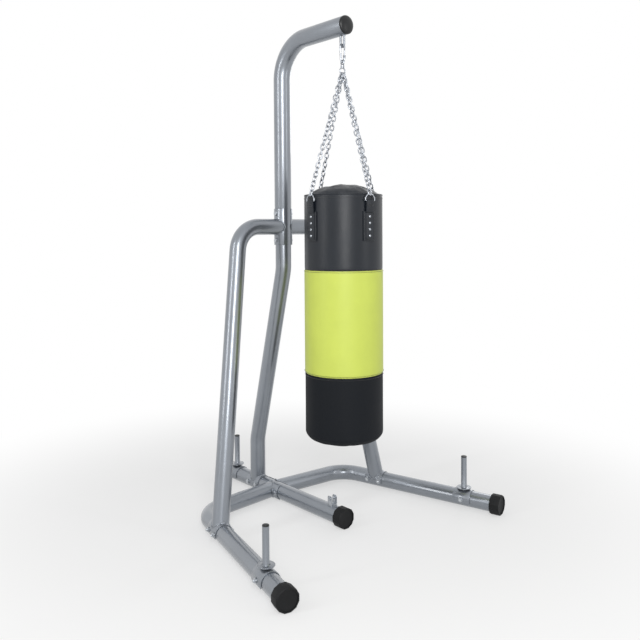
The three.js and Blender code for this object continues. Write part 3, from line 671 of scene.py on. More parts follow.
def cap_rubber(finishes):
    """Black rubber from a spark-finished mould: matt, with a fine even grain and a little dust."""
    # The grain's pits shade one another, which takes away about half of the reflection.
    shine = {"IOR": 1.52, "Specular_IOR_Level": 0.25}
    layers = [("noise", 1.0, 0.12, 0.35, 4.0)]
    return surface("black_rubber_moulded", finishes.rubber, 0.35, 30, layers, (0.5, 0.72), **shine)


def plug_plastic(finishes):
    """Black polyethylene plug, injection moulded: satin, with faint flow unevenness."""
    shine = {"IOR": 1.51, "Specular_IOR_Level": 0.4}
    layers = [("noise", 4.0, 0.1, 0.2)]
    return surface("black_polyethylene_moulded", finishes.plastic, 0.2, 25, layers, (0.3, 0.42), **shine)


def coated_fabric(look, base, roughness, spread, shine=0.5):
    """PVC coated polyester, calendered and grained: pebbles with fine creases."""
    # The grain's pebbles are about 0.8 mm. They are drawn 1.8 mm wide so that they show.
    layers = [("noise", 26, 1.6, 0.22, 3.0), ("pebbles", 1.8, 0.25, 0.3)]
    values = {"IOR": 1.53, "Specular_IOR_Level": shine}
    return surface(look, base, spread, 120, layers, roughness, **values)


def black_vinyl(finishes):
    """Black coated fabric of the upper panel, straps and cover."""
    return coated_fabric("black_pvc_coated_fabric_grained", finishes.black, (0.33, 0.45), 0.12, 0.36)


def matt_vinyl(finishes):
    """The same black coated fabric of the lower panel, matt, in a darker copy whose halved colour is
    painted shade.
    """
    # Painted shade: the colour is half that of the upper panel's fabric, so the lower panel renders darker.
    base = [share * 0.5 for share in finishes.black]
    return coated_fabric("black_pvc_coated_fabric_matt", base, (0.6, 0.75), 0.12, 0.2)


def green_vinyl(finishes):
    """Lime green coated fabric of the band."""
    return coated_fabric("green_pvc_coated_fabric_grained", finishes.green, (0.42, 0.55), 0.04)


def sewing_thread(finishes):
    """Bonded polyester thread: three plies twisted, with a slight shine."""
    values = {"IOR": 1.54, "Sheen_Weight": 0.3}
    name = "black_polyester_thread_twisted"
    return surface(name, finishes.thread, 0.3, 4, [("plies", 1.6, 0.2, 0.5)], (0.45, 0.6), **values)


def liner_foam(finishes):
    """Polyethylene foam sheet, closed cells: matt and finely pitted."""
    layers = [("cells", 2.0, 0.6, 0.6)]
    return surface("polyethylene_foam_sheet", finishes.foam, 0.06, 40, layers, IOR=1.5, Roughness=0.9)


def cut_rags(finishes):
    """Shredded cotton and polyester cloth, packed tight: mixed greys, no shine."""
    values = {"IOR": 1.5, "Roughness": 0.95, "Sheen_Weight": 0.3}
    layers = [("noise", 12, 4.0, 0.8, 6.0)]
    return surface("shredded_cloth_packed", finishes.rags, 0.45, 18, layers, **values)


MAKERS = {
    "silver_paint": silver_enamel,
    "zinc_steel": zinc_plate,
    "chrome_steel": chrome_plate,
    "foot_rubber": cap_rubber,
    "black_plastic": plug_plastic,
    "black_vinyl": black_vinyl,
    "matt_vinyl": matt_vinyl,
    "green_vinyl": green_vinyl,
    "thread": sewing_thread,
    "liner_foam": liner_foam,
    "rag_filling": cut_rags,
}
MATERIALS = {}


def finish_of(slot):
    """The material of a slot, made once."""
    if slot not in MATERIALS:
        MATERIALS[slot] = MAKERS[slot](bpy.context.scene.finishes)
    return MATERIALS[slot]


def add_part(bm, node, body, slot, finish=None, **more):
    """A piece that stands for the CAD node it is named after."""
    return make_piece(bm, f"{node}_finished", body, finish_of(finish or slot), slot, [node], **more)


def add_detail(bm, name, slot, finish):
    """A piece on the bag that stands for no CAD node."""
    return make_piece(bm, name, "bag", finish_of(finish), slot)


class Step:
    """What the building steps share."""

    def execute(self, context):
        self.build(Sizes(context))
        return {"FINISHED"}


# ---- base ----


def side_base(side, s):
    """Side tube of the base, with its welded saddle at the crossing."""
    corner, foot, along = leg(side, s)
    start = Vector((0, CROSSING_Y, s.axis_z))
    route = bent_path([start, corner, foot + along * CAP_COVER], [s.corner_bend])
    mate = (start, BACK, s.saddle_outer - s.plate / 2)
    tube, loops = pipe(route, s.tube_radius, s.tube_wall, start_mate=mate)
    outward = RIGHT * sign_of(side)
    plate = saddle(start, BACK, outward, CROSS_SADDLE_HALF, s.over_tube, s.plate)
    lifted = lift_loop(loops[0], start, BACK, s.saddle_outer)
    return join(tube, plate, bead(lifted, s.weld))


def lift_loop(loop, axis_point, axis, radius):
    """A loop moved out to a radius about an axis."""
    lifted = []
    for point in loop:
        foot = axis_point + axis * (point - axis_point).dot(axis)
        lifted.append(foot + (point - foot).normalized() * radius)
    return lifted


def middle_base(s):
    """Middle tube of the base, from the rear cap to the front cap."""
    ends = [Vector((0, y, s.axis_z)) for y in (MIDDLE_REAR_Y + CAP_COVER, MIDDLE_FRONT_Y - CAP_COVER)]
    return pipe(ends, s.tube_radius, s.tube_wall)[0]


CAP_SIDES = 12
CAP_RECESS = 4.0
CAP_RIM = 7.0
CAP_EDGE = 3.0
CAP_CREASE = math.radians(25)


def foot_cap(junction, along, s):
    """Twelve-sided rubber cap, flat side down, with a recess in its end and a socket for the tube."""
    to_corner = 1 / math.cos(math.pi / CAP_SIDES)
    outer = s.axis_z * to_corner
    socket = s.over_tube * to_corner
    recess = outer - CAP_RIM
    end = s.cap_length
    profile = [
        (0, CAP_COVER + s.fit),
        (socket, CAP_COVER + s.fit),
        (socket, 0),
        (outer - 1, 0),
        (outer, 1),
        (outer, end - CAP_EDGE),
        (outer - CAP_EDGE, end),
        (recess, end),
        (recess, end - CAP_RECESS),
        (0, end - CAP_RECESS),
    ]
    basis = Matrix((UP.cross(along), UP, along)).transposed().to_4x4()
    turn = Matrix.Rotation(math.pi / CAP_SIDES, 4, "Z")
    cap = lathe(profile, Matrix.Translation(junction) @ basis @ turn, steps=CAP_SIDES)
    return soften(cap, 0.9, angle=math.radians(24))


class BuildBase(Step, bpy.types.Operator):
    """Build the base tubes and their rubber foot caps."""

    bl_idname = "bag_stand.base"
    bl_label = "Base"

    def build(self, s):
        add_part(middle_base(s), "middle_base_tube", "stand", "silver_paint")
        middle = (("front", MIDDLE_FRONT_Y, -BACK), ("rear", MIDDLE_REAR_Y, BACK))
        ends = [(end, Vector((0, y, s.axis_z)), along) for end, y, along in middle]
        for side in SIDES:
            add_part(side_base(side, s), f"{side}_base_tube", "stand", "silver_paint")
            _, foot, along = leg(side, s)
            ends.append((side, foot, along))
        for end, junction, along in ends:
            cap = foot_cap(junction, along, s)
            add_part(cap, f"{end}_foot_cap", "stand", "foot_rubber", crease=CAP_CREASE)


# ---- arch, post and arm ----


def arch_side(side, s):
    """Half of the arch, with a saddle on its leg and another against the post."""
    sign = sign_of(side)
    corner, _, along = leg(side, s)
    foot = corner + along * ARCH_FOOT_RUN
    shoulder = Vector((sign * ARCH_SHOULDER.x, ARCH_SHOULDER.y, ARCH_SHOULDER.z))
    top = Vector((0, ARCH_SHOULDER.y, ARCH_SHOULDER.z))
    leg_mate = (foot, along, s.saddle_outer - s.plate / 2)
    sleeve = s.sleeve_outer + s.fit
    post_mate = (top, UP, sleeve + s.plate / 2)
    route = bent_path([foot, shoulder, top], [s.arch_bend])
    tube, loops = pipe(route, s.tube_radius, s.tube_wall, leg_mate, post_mate)
    return join(
        tube,
        eared_saddle(foot, along, FOOT_SADDLE_HALF, s),
        saddle(top, UP, RIGHT * sign, POST_SADDLE_HALF, sleeve, s.plate),
        bead(lift_loop(loops[0], foot, along, s.saddle_outer), s.weld),
        bead(lift_loop(loops[1], top, UP, sleeve + s.plate), s.weld),
    )


def post(s):
    """Lower post with the saddle on its foot."""
    corners = [Vector((0, y, z)) for y, z in POST_ROUTE]
    foot = corners[0]
    mate = (foot, BACK, s.saddle_outer - s.plate / 2)
    tube, loops = pipe(bent_path(corners, [s.post_bend] * 2), s.tube_radius, s.tube_wall, mate)
    plate = eared_saddle(foot, BACK, FOOT_SADDLE_HALF, s)
    return join(tube, plate, bead(lift_loop(loops[0], foot, BACK, s.saddle_outer), s.weld))


def arm(s):
    """Upper post, which sleeves over the lower one and bends forward into the arm."""
    corners = [Vector((0, y, z)) for y, z in ARM_ROUTE]
    tube, _ = pipe(bent_path(corners, [s.arm_bend]), s.sleeve_outer, s.tube_wall)
    return soften(tube, 0.5, angle=math.radians(60))


PLUG_DOME = 13.0
PLUG_FACE = 3.0
PLUG_DEPTH = 22.0


def arm_plug(s):
    """Domed plug in the arm's end."""
    tip = Vector((0, *ARM_ROUTE[-1]))
    r = s.sleeve_outer
    stem = s.over_tube - 1
    profile = [(0, -PLUG_DEPTH), (stem - 1, -PLUG_DEPTH), (stem, 2 - PLUG_DEPTH)]
    profile += [(stem, s.fit), (r - 0.6, s.fit), (r, s.fit + 0.6)]
    return lathe(profile + dome(r, PLUG_DOME, PLUG_FACE, 9), facing(tip, -BACK), steps=48)


EYE_WIRE = 5.0
EYE_BEND = 10.0


def hanger_eye(s):
    """Eye of bent bar, welded under the arm."""
    low = box_low("hanger_eye").z + EYE_WIRE
    root = ARM_ROUTE[-1][1] - s.sleeve_outer + 6
    bend = EYE_BEND
    base = Vector((0, HANG_Y, 0))
    lower = arc(base + UP * (low + bend), 180, 360, bend, 14, right=BACK)
    path = [base + UP * root - BACK * bend, *lower, base + UP * root + BACK * bend]
    parts = [wire(path, EYE_WIRE, 16)]
    axis_point = Vector((0, *ARM_ROUTE[-1]))
    for y in (-bend, bend):
        centre = Vector((0, HANG_Y + y, root - 4))
        loop = arc(centre, 0, 345, EYE_WIRE + 1, 23, up=BACK)
        parts.append(bead(lift_loop(loop, axis_point, BACK, s.sleeve_outer), s.weld * 0.8))
    return join(*parts)


class BuildUprights(Step, bpy.types.Operator):
    """Build the arch, the post, the arm, its end plug and the hanging eye."""

    bl_idname = "bag_stand.uprights"
    bl_label = "Arch, post and arm"

    def build(self, s):
        for side in SIDES:
            add_part(arch_side(side, s), f"{side}_arch_tube", "stand", "silver_paint")
        add_part(post(s), "lower_post", "stand", "silver_paint")
        add_part(arm(s), "upper_post_arm", "stand", "silver_paint")
        add_part(arm_plug(s), "arm_end_plug", "stand", "black_plastic")
        add_part(hanger_eye(s), "hanger_eye", "stand", "silver_paint")


# ---- pegs and tether ----

FLANGE_RISE = 5.0
FLANGE_THICKNESS = 4.0
FLANGE_ROUND = 0.8


def peg_place(name, s):
    """Middle of the base tube under a peg, and that tube's direction."""
    middle = box_middle(f"{name}_peg_cap")
    centre = Vector((middle.x, middle.y - FRAME_SHIFT, s.axis_z))
    return centre, -BACK if name == "rear" else leg(name, s)[2]


def plate_peg(name, s):
    """Peg for weight plates: a tube through a disc, on a saddle."""
    centre, along = peg_place(name, s)
    crown = s.saddle_outer
    top = box_high(f"{name}_plate_peg").z - s.axis_z
    r = s.peg_radius
    low = crown + FLANGE_RISE
    high = low + FLANGE_THICKNESS
    edge = s.flange_radius
    profile = [
        (r - 2, crown - 1),
        (r + 3.5, crown - 1),
        (r + 1, low),
        (edge - FLANGE_ROUND, low),
        (edge, low + FLANGE_ROUND),
        (edge, high - FLANGE_ROUND),
        (edge - FLANGE_ROUND, high),
        (r + 3, high),
        (r + 1, high + 1),
        (r, high + 3),
        (r, top - 0.5),
        (r - 0.5, top),
        (r - 2, top),
    ]
    plate = eared_saddle(centre, along, PEG_SADDLE_HALF, s)
    peg = lathe(profile, Matrix.Translation(centre), steps=40, looped=True)
    loop = arc(centre + UP * (high + 0.5), 0, 352, r + 1.5, 44, up=BACK)
    return join(plate, peg, bead(loop, s.weld * 0.6))


def peg_cap(name, s):
    """Plug in a peg's open top."""
    centre, _ = peg_place(name, s)
    seat = box_high(f"{name}_plate_peg").z + s.fit
    r = s.peg_radius
    profile = [(0, -14), (r - 3, -14), (r - 2.4, -12), (r - 2.4, 0), (r - 0.4, 0), (r, 0.4), (r, 2.5)]
    profile += [(r - 0.7, 4), (r - 2.5, 4.8), (r - 6, 5.2), (0, 5.3)]
    return lathe(profile, Matrix.Translation((centre.x, centre.y, seat)), steps=32)


LUG_ROUND = 9.0
LUG_PLATE = 3.0
LUG_DEPTH = 35.0


def tether_bracket():
    """Bent bracket with two rounded lugs, welded on the front of the middle tube."""
    low, high = box_low("tether_bracket"), box_high("tether_bracket")
    y = (low.y + high.y) / 2 - FRAME_SHIFT
    half, depth = (high.x - low.x) / 2, high.y - low.y
    plate, floor = LUG_PLATE, high.z - LUG_DEPTH
    bm = bmesh.new()
    outline = [(-half, low.z), (half, low.z), (half, high.z), (half - plate, high.z)]
    outline += [(half - plate, floor), (plate - half, floor), (plate - half, high.z), (-half, high.z)]
    face = bm.faces.new([bm.verts.new((x, y - depth / 2, z)) for x, z in outline])
    push_faces(bm, [face], BACK * depth)
    closed(bm)
    tops = [e for e in bm.edges if all(v.co.z > high.z - 0.1 for v in e.verts) and is_cross_edge(e)]
    return soften(round_edges(bm, tops, LUG_ROUND, 6), 0.7)


def is_cross_edge(edge):
    """True for an edge that runs along X."""
    start, end = (v.co for v in edge.verts)
    return abs(start.x - end.x) > 1 and abs(start.y - end.y) < 0.1


def tether_pin(s):
    """Small bolt through the bracket's lugs."""
    middle = box_middle("tether_pin")
    centre = Vector((0, middle.y - FRAME_SHIFT, middle.z))
    half = (box_high("tether_bracket").x - box_low("tether_bracket").x) / 2 + s.fit
    return bolt(centre, RIGHT, half, 4.0, 7.0, tail=2.0, height=4.5)


class BuildFittings(Step, bpy.types.Operator):
    """Build the weight-plate pegs, their caps and the tether bracket."""

    bl_idname = "bag_stand.fittings"
    bl_label = "Pegs and tether"

    def build(self, s):
        for name in ("left", "right", "rear"):
            add_part(plate_peg(name, s), f"{name}_plate_peg", "stand", "silver_paint")
            add_part(peg_cap(name, s), f"{name}_peg_cap", "stand", "black_plastic")
            centre, along = peg_place(name, s)
            fixing = bolt(centre, across_of(along), s.saddle_outer, s.bolt_radius, s.bolt_head)
            add_part(fixing, f"{name}_peg_bolt", "stand", "zinc_steel")
        add_part(tether_bracket(), "tether_bracket", "stand", "zinc_steel")
        add_part(tether_pin(s), "tether_pin", "stand", "zinc_steel")


# ---- frame bolts ----


def frame_bolts(s):
    """Name, middle, direction and half grip of each bolt of the frame."""
    crossing = Vector((0, CROSSING_Y, s.axis_z))
    post_foot = Vector((0, POST_ROUTE[0][0], s.axis_z))
    arch_top = Vector((0, ARCH_SHOULDER.y, ARCH_SHOULDER.z))
    on_arch = s.sleeve_outer + s.fit + s.plate
    rows = [
        # name, middle, direction of the tube, direction of the bolts, half spacing, ends, half grip
        ("crossing", crossing, BACK, RIGHT, 52, ("front", "rear"), s.saddle_outer),
        ("post_foot", post_foot, BACK, RIGHT, 30, ("front", "rear"), s.saddle_outer),
        ("arch", arch_top, UP, RIGHT, 59, ("lower", "upper"), on_arch),
    ]
    for side in SIDES:
        corner, _, along = leg(side, s)
        foot = corner + along * ARCH_FOOT_RUN
        row = (along, across_of(along), 30, ("rear", "front"), s.saddle_outer)
        rows.append((f"{side}_arch_foot", foot, *row))
    for name, middle, along, across, half, ends, seat in rows:
        for end, offset in zip(ends, (-half, half)):
            yield f"{name}_bolt_{end}", middle + along * offset, across, seat


class BuildBolts(Step, bpy.types.Operator):
    """Build the bolts that hold the frame together."""

    bl_idname = "bag_stand.bolts"
    bl_label = "Frame bolts"

    def build(self, s):
        for name, place, across, seat in frame_bolts(s):
            add_part(bolt(place, across, seat, s.bolt_radius, s.bolt_head), name, "stand", "zinc_steel")


# ---- hanging hardware ----

HOOK_WIRE = 4.0
HOOK_TOP_BEND = 12.0
HOOK_FOOT_BEND = 9.0
GATE_PIVOT_RISE = 24.0
GATE_LENGTH = 31.0
GATE_WIRE = 3.0
SWIVEL_WIRE = 3.0
SWIVEL_EYE_BEND = 8.4
RING_BEND = 13.0
COLLAR = 8.0


def hook_levels():
    """Heights of the hook's top and lower bars."""
    top = box_high("snap_hook").z - HOOK_WIRE
    return top, box_low("snap_hook").z + HOOK_WIRE


def snap_hook():
    """Pear-shaped hook of bent bar with a round nose and a pair of ears for the gate."""
    top, foot = hook_levels()
    middle = Vector((0, HANG_Y, 0))
    nose = middle + Vector((HOOK_TOP_BEND - 0.4, 0, foot + GATE_PIVOT_RISE + GATE_LENGTH + GATE_WIRE))
    path = [nose + UP * -1.5, nose]
    path += arc(middle + UP * (top - HOOK_TOP_BEND), 0, 180, HOOK_TOP_BEND, 16)
    path += arc(middle + UP * (foot + HOOK_FOOT_BEND), 180, 360, HOOK_FOOT_BEND, 14)
    throat = middle + Vector((HOOK_FOOT_BEND + 0.8, 0, foot + GATE_PIVOT_RISE - GATE_WIRE * 1.8))
    path += [throat, throat + UP * 1.5]
    radii = [HOOK_WIRE] * len(path)
    radii[0] = radii[-1] = HOOK_WIRE * 0.7
    pivot = gate_pivot()
    ears = [block((6.4, 2.0, 13), pivot + Vector((0, y, -1.5)), 0.9) for y in (-4.2, 4.2)]
    return join(wire(path, radii, 16), *ears)


def gate_pivot():
    _, foot = hook_levels()
    return Vector((HOOK_FOOT_BEND + 1, HANG_Y, foot + GATE_PIVOT_RISE))


def hook_gate():
    """Sprung gate: a lever with a rounded tip, its barrel and its pin."""
    pivot = gate_pivot()
    tip = Vector((HOOK_TOP_BEND - 0.6, HANG_Y, pivot.z + GATE_LENGTH - 0.3))
    path = [pivot.lerp(tip, share) for share in (0, 0.25, 0.5, 0.75, 0.94, 1)]
    radii = [GATE_WIRE * share for share in (1, 0.92, 0.9, 0.92, 0.95, 0.7)]
    barrel = wire([pivot - BACK * 2.9, pivot + BACK * 2.9], GATE_WIRE, 16)
    pin = wire([pivot - BACK * 5.8, pivot + BACK * 5.8], 1.5, 12)
    return join(wire(path, radii, 14), soften(barrel, 0.4), soften(pin, 0.3))


def swivel_eye():
    """Upper half of the swivel: an eye over a collar."""
    high = box_high("swivel_eye").z
    centre = Vector((0, HANG_Y, high - SWIVEL_WIRE - SWIVEL_EYE_BEND))
    eye = wire(arc(centre, 0, 350, SWIVEL_EYE_BEND, 35, right=BACK), SWIVEL_WIRE, 14, looped=True)
    low = box_low("swivel_eye").z
    top = centre.z - SWIVEL_EYE_BEND
    profile = [(3.3, 0), (COLLAR - 1, 0), (COLLAR, 1), (COLLAR, top - low - 3), (COLLAR - 3, top - low)]
    profile += [(3.0, top - low + 1.5), (0, top - low + 1.5), (0, 6.5), (3.3, 6.5)]
    return join(eye, lathe(profile, Matrix.Translation((0, HANG_Y, low)), looped=True))


def ring_level():
    """Height of the swivel ring's middle."""
    return box_low("swivel_ring").z + SWIVEL_WIRE + RING_BEND


def swivel_ring():
    """Lower half of the swivel, in the bag's own coordinates: a stud and flange over the ring."""
    centre = Vector((0, 0, ring_level()))
    ring = wire(arc(centre, 0, 352, RING_BEND, 44), SWIVEL_WIRE, 14, looped=True)
    top = box_high("swivel_ring").z
    low = ring_level() + RING_BEND - SWIVEL_WIRE / 2
    flange = box_low("swivel_eye").z - 0.3
    profile = [(0, low), (5, low), (COLLAR, low + 1.5), (COLLAR, flange - 0.8), (COLLAR - 0.8, flange)]
    profile += [(3, flange), (3, top), (0, top)]
    return join(ring, lathe(profile, steps=32))


class BuildHanger(Step, bpy.types.Operator):
    """Build the snap hook, its gate and both halves of the swivel."""

    bl_idname = "bag_stand.hanger"
    bl_label = "Hook and swivel"

    def build(self, _):
        add_part(snap_hook(), "snap_hook", "snap_hook", "chrome_steel")
        add_part(hook_gate(), "hook_gate", "hook_gate", "chrome_steel")
        add_part(swivel_eye(), "swivel_eye", "swivel", "chrome_steel")
        add_part(in_bag(swivel_ring()), "swivel_ring", "bag", "chrome_steel")


# ---- bag ----

SKIN_STEPS = 96
RING_SPACING = 14.0
EDGE_ROUND = 31.0
BELLY = 2.0
PIN_DROP = 4.0  # the skin's last ring lies this far under the rim
SIM_FRAMES = 20
SIM_QUALITY = 5
PRESSURE = 4.0
RIM_FOLD = 16.0


def in_bag(bm):
    """Takes a bmesh from the bag's own upright axis to where the bag hangs, turned at its swivel."""
    bmesh.ops.transform(bm, matrix=BAG_PLACE, verts=bm.verts)
    return bm


def run_of(start, end, spacing):
    """Evenly spaced values from start up to, and not with, end."""
    count = max(2, round((end - start) / spacing))
    return [start + (end - start) * i / count for i in range(count)]


def skin_profile(s):
    """Outline of the stuffed skin: a slightly bellied bottom, a round edge and upright sides."""
    radius = s.bag_radius - s.swell
    flat = radius - EDGE_ROUND
    bottom = s.bag_bottom + 1
    shares = (0, 0.14, 0.28, 0.42, 0.56, 0.7, 0.85)
    points = [(flat * share, bottom + BELLY * share * share) for share in shares]
    for step in range(9):
        angle = math.radians(step * 90 / 8)
        lift = bottom + BELLY + EDGE_ROUND * (1 - math.cos(angle))
        points.append((flat + EDGE_ROUND * math.sin(angle), lift))
    heights = run_of(bottom + EDGE_ROUND + 10, s.lower_seam, RING_SPACING)
    heights += run_of(s.lower_seam, s.upper_seam, RING_SPACING)
    top = s.bag_top - PIN_DROP
    heights += [*run_of(s.upper_seam, top, RING_SPACING), top]
    return points + [(radius, z) for z in heights]


def swell_limit(point, s):
    """How far a point of the skin may move, which differs a little from place to place."""
    wave = noise.noise(Vector((point.x, point.y, point.z * 0.6)) * 9.0)
    fine = noise.noise(point * 24.0)
    return s.swell * MM * min(1.0, max(0.15, 0.72 + 0.45 * wave + 0.12 * fine))


def inflate(piece, pins, limit_of):
    """Lets the filling's pressure push a skin out between its pinned seams, then keeps the shape."""
    scene = bpy.context.scene
    seams = piece.vertex_groups.new(name="seams")
    seams.add(pins, 1.0, "REPLACE")
    cloth = piece.modifiers.new("Swell", "CLOTH")
    cloth.settings.quality = SIM_QUALITY
    cloth.settings.use_pressure = True
    cloth.settings.uniform_pressure_force = PRESSURE
    cloth.settings.vertex_group_mass = seams.name
    cloth.settings.effector_weights.gravity = 0
    cloth.collision_settings.use_collision = False
    cloth.point_cache.frame_start = 1
    cloth.point_cache.frame_end = SIM_FRAMES
    for step in range(1, SIM_FRAMES + 1):
        scene.frame_set(step)
    shape = piece.evaluated_get(bpy.context.evaluated_depsgraph_get())
    swollen = [v.co.copy() for v in shape.data.vertices]
    piece.modifiers.remove(cloth)
    piece.vertex_groups.remove(seams)
    scene.frame_set(1)
    for vert, target in zip(piece.data.vertices, swollen):
        move = target - vert.co
        most = limit_of(vert.co)
        if move.length > most:
            move *= most / move.length
        vert.co += move


def ordered(bm):
    """Puts edges and faces in one order in every run, since the simulation depends on it."""
    bm.verts.index_update()
    count = len(bm.verts)

    def key(element):
        first, second, *rest = sorted(v.index for v in element.verts)
        return (first * count + second) * 4 * count + sum(rest)

    for elements in (bm.edges, bm.faces):
        elements.sort(key=key)
        elements.index_update()
    return bm


def skin_mesh(s):
    """The whole skin as one swollen mesh in the frame's metres, from which the panels are cut."""
    bm = ordered(in_bag(lathe(skin_profile(s), steps=SKIN_STEPS)))
    bmesh.ops.transform(bm, matrix=TO_FRAME, verts=bm.verts)
    mesh = mesh_from(bm, "bag_skin")
    piece = bpy.data.objects.new("bag_skin", mesh)
    bpy.context.scene.collection.objects.link(piece)
    seams = [z * MM for z in (s.lower_seam, s.upper_seam, s.bag_top - PIN_DROP)]
    pins = [v.index for v in mesh.vertices if min(abs(v.co.z - z) for z in seams) < 0.5 * MM]
    inflate(piece, pins, lambda point: swell_limit(point, s))
    bpy.data.objects.remove(piece)
    return mesh


def panel(skin, low, high, proud, s):
    """Part of the skin between two heights, pushed out and given the vinyl's thickness."""
    bm = bmesh.new()
    bm.from_mesh(skin)
    bmesh.ops.transform(bm, matrix=TO_FRAME.inverted(), verts=bm.verts)
    outside = [f for f in bm.faces if not low < f.calc_center_median().z < high]
    bmesh.ops.delete(bm, geom=outside, context="FACES")
    axis = Vector((0, HANG_Y, 0))
    for vert in bm.verts:
        out = (vert.co - axis).to_2d()
        if out.length > s.bag_radius / 2:
            out.length = proud
            vert.co += Vector((*out, 0))
    return bm


def add_vinyl(bm, node, finish, thickness):
    """A stuffed piece of coated fabric with live thickness and one smoothing level."""
    slot = "green_vinyl" if finish == "green_vinyl" else "black_vinyl"
    piece = add_part(bm, node, "bag", slot, finish, crease=math.pi)
    shell = piece.modifiers.new("Vinyl", "SOLIDIFY")
    shell.thickness = thickness * MM
    shell.offset = -1
    smooth = piece.modifiers.new("Smooth", "SUBSURF")
    smooth.levels = smooth.render_levels = 1


class BuildBagSkin(Step, bpy.types.Operator):
    """Build the bag's three stuffed panels, swollen by their filling."""

    bl_idname = "bag_stand.skin"
    bl_label = "Bag panels"

    def build(self, s):
        skin = skin_mesh(s)
        proud = s.swell * 0.5
        panels = (
            ("bag_lower_panel", 0, s.lower_seam, proud, "matt_vinyl"),
            ("bag_green_band", s.lower_seam, s.upper_seam, proud + s.band_proud, "green_vinyl"),
            ("bag_upper_panel", s.upper_seam, s.bag_top, proud, "black_vinyl"),
        )
        for node, low, high, out, finish in panels:
            add_vinyl(panel(skin, low, high, out, s), node, finish, s.vinyl)
        bpy.data.meshes.remove(skin)


COVER_DROP = 12.0
COVER_INSET = 4.0
WELT = 2.6
COVER_RINGS = 22
FOLDS = 17


def cover_mesh(s):
    """Domed cover inside the rim, with radial gathers that fade towards the middle."""
    radius = s.bag_radius - COVER_INSET
    low = s.bag_top - COVER_DROP
    rise = s.cover_top - low
    shares = [i / COVER_RINGS for i in range(COVER_RINGS + 1)]
    bm = lathe([(radius * share, low + rise * (1 - share**3.2)) for share in shares], steps=SKIN_STEPS)
    for vert in bm.verts:
        share = vert.co.to_2d().length / radius
        angle = math.atan2(vert.co.y, vert.co.x)
        gather = math.sin(angle * FOLDS + 2.2 * math.sin(angle * 3)) * 1.4 + math.sin(angle * 7 + 1) * 1.6
        fade = share**1.5 * (1 - share**6)
        crumple = noise.noise(vert.co * 0.022) * 5 + noise.noise(vert.co * 0.06) * 2
        vert.co.z += gather * fade + crumple * (1 - share**5) - 3 * (1 - share**4)
    return bm


class BuildBagTop(Step, bpy.types.Operator):
    """Build the bag's gathered top cover and the welt round its rim."""

    bl_idname = "bag_stand.top"
    bl_label = "Bag top"

    def build(self, s):
        add_vinyl(in_bag(cover_mesh(s)), "bag_top_cover", "black_vinyl", s.vinyl * 0.5)
        rim = s.bag_radius - s.vinyl
        around = arc(UP * (s.bag_top - WELT), 0, 357, rim, 119, up=BACK)
        welt = wire(around, WELT, 12, looped=True)
        fold = [(rim + 2, s.bag_top - 4), (rim - 1, s.bag_top - 1), (rim - 4, s.bag_top - 4)]
        fold += [(rim - 5, s.bag_top - RIM_FOLD), (rim - 2, s.bag_top - RIM_FOLD)]
        hem = join(welt, lathe(fold, steps=SKIN_STEPS, looped=True))
        add_detail(in_bag(hem), "bag_rim_welt", "black_vinyl", "black_vinyl")


LINER = 18.0
LINER_DROP = 24.0


class BuildBagInside(Step, bpy.types.Operator):
    """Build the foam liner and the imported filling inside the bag."""

    bl_idname = "bag_stand.inside"
    bl_label = "Liner and filling"

    def build(self, s):
        outer = s.bag_radius - s.vinyl - s.swell - 1
        inner = outer - LINER
        low, high = s.bag_bottom + EDGE_ROUND + 8, s.bag_top - LINER_DROP
        heights = [*run_of(low, high, 60), high]
        wall = [(outer, z) for z in heights] + [(inner, z) for z in reversed(heights)]
        liner = lathe(wall, steps=64, looped=True)
        add_part(in_bag(soften(liner, 2.0)), "bag_foam_liner", "bag", "liner_foam")
        core = inner - 1
        low = s.bag_bottom + 12
        pack = [(0, low), (core * 0.5, low), (core - 22, low + 2), (core - 6, low + 16)]
        pack += [(core, z) for z in run_of(low + 40, high - 10, 40)]
        pack += [(core - 4, high - 2), (core * 0.6, high), (0, high)]
        filling = lathe(pack, steps=64)
        for vert in filling.verts:
            out = vert.co.to_2d()
            squeeze = 1 - 0.02 * (0.5 + 0.5 * noise.noise(vert.co * 0.03))
            vert.co = Vector((out.x * squeeze, out.y * squeeze, vert.co.z))
        core_piece = add_part(in_bag(filling), "bag_filling", "bag", "rag_filling", crease=math.pi)


# ---- straps, D-rings, rivets and chains ----

PATCH_TOP_DROP = 70.0
PATCH_HEIGHT = 115.0
PATCH_BASE = 2.2
PATCH_COVER = 1.4
PATCH_ROWS = 6
D_RING_DROP = 29.0
D_RING_WIRE = 2.5
D_RING_WIDTH = 52.0
D_RING_HEIGHT = 31.0
WEB = 2.0
RIVETS = 4
RIVET_SPACING = 25.0
RIVET_RADIUS = 5.4
RIVET_HEIGHT = 3.4
RIVET_SINK = 0.2


def d_ring_offset(s):
    """How far a D-ring's bar lies from the bag's axis."""
    return s.bag_radius + s.fit + WEB + s.fit + D_RING_WIRE


def turned_to(bm, index):
    """Turns a bmesh from the bag's right-hand side to a strap's side, and hangs it with the bag."""
    quarter = Matrix.Rotation(index * math.pi / 2, 4, "Z")
    bmesh.ops.transform(bm, matrix=BAG_PLACE @ quarter, verts=bm.verts)
    return bm


def curved_patch(radius, thickness, width, low, high, round_by=0.8):
    """Flat patch wrapped on the bag's side, facing +X."""
    bm = bmesh.new()
    span = width / radius
    start = Matrix.Rotation(-span / 2, 3, "Z") @ Vector((radius, 0, 0))
    heights = [low + (high - low) * i / PATCH_ROWS for i in range(PATCH_ROWS + 1)]
    verts, edges = polyline(bm, [start + UP * z for z in heights])
    bmesh.ops.spin(bm, geom=[*verts, *edges], cent=(0, 0, 0), axis=UP, angle=span, steps=8)
    for vert in verts_in(bmesh.ops.extrude_face_region(bm, geom=list(bm.faces))["geom"]):
        out = vert.co.to_2d()
        out.length += thickness
        vert.co = Vector((*out, vert.co.z))
    return soften(closed(bm), round_by)


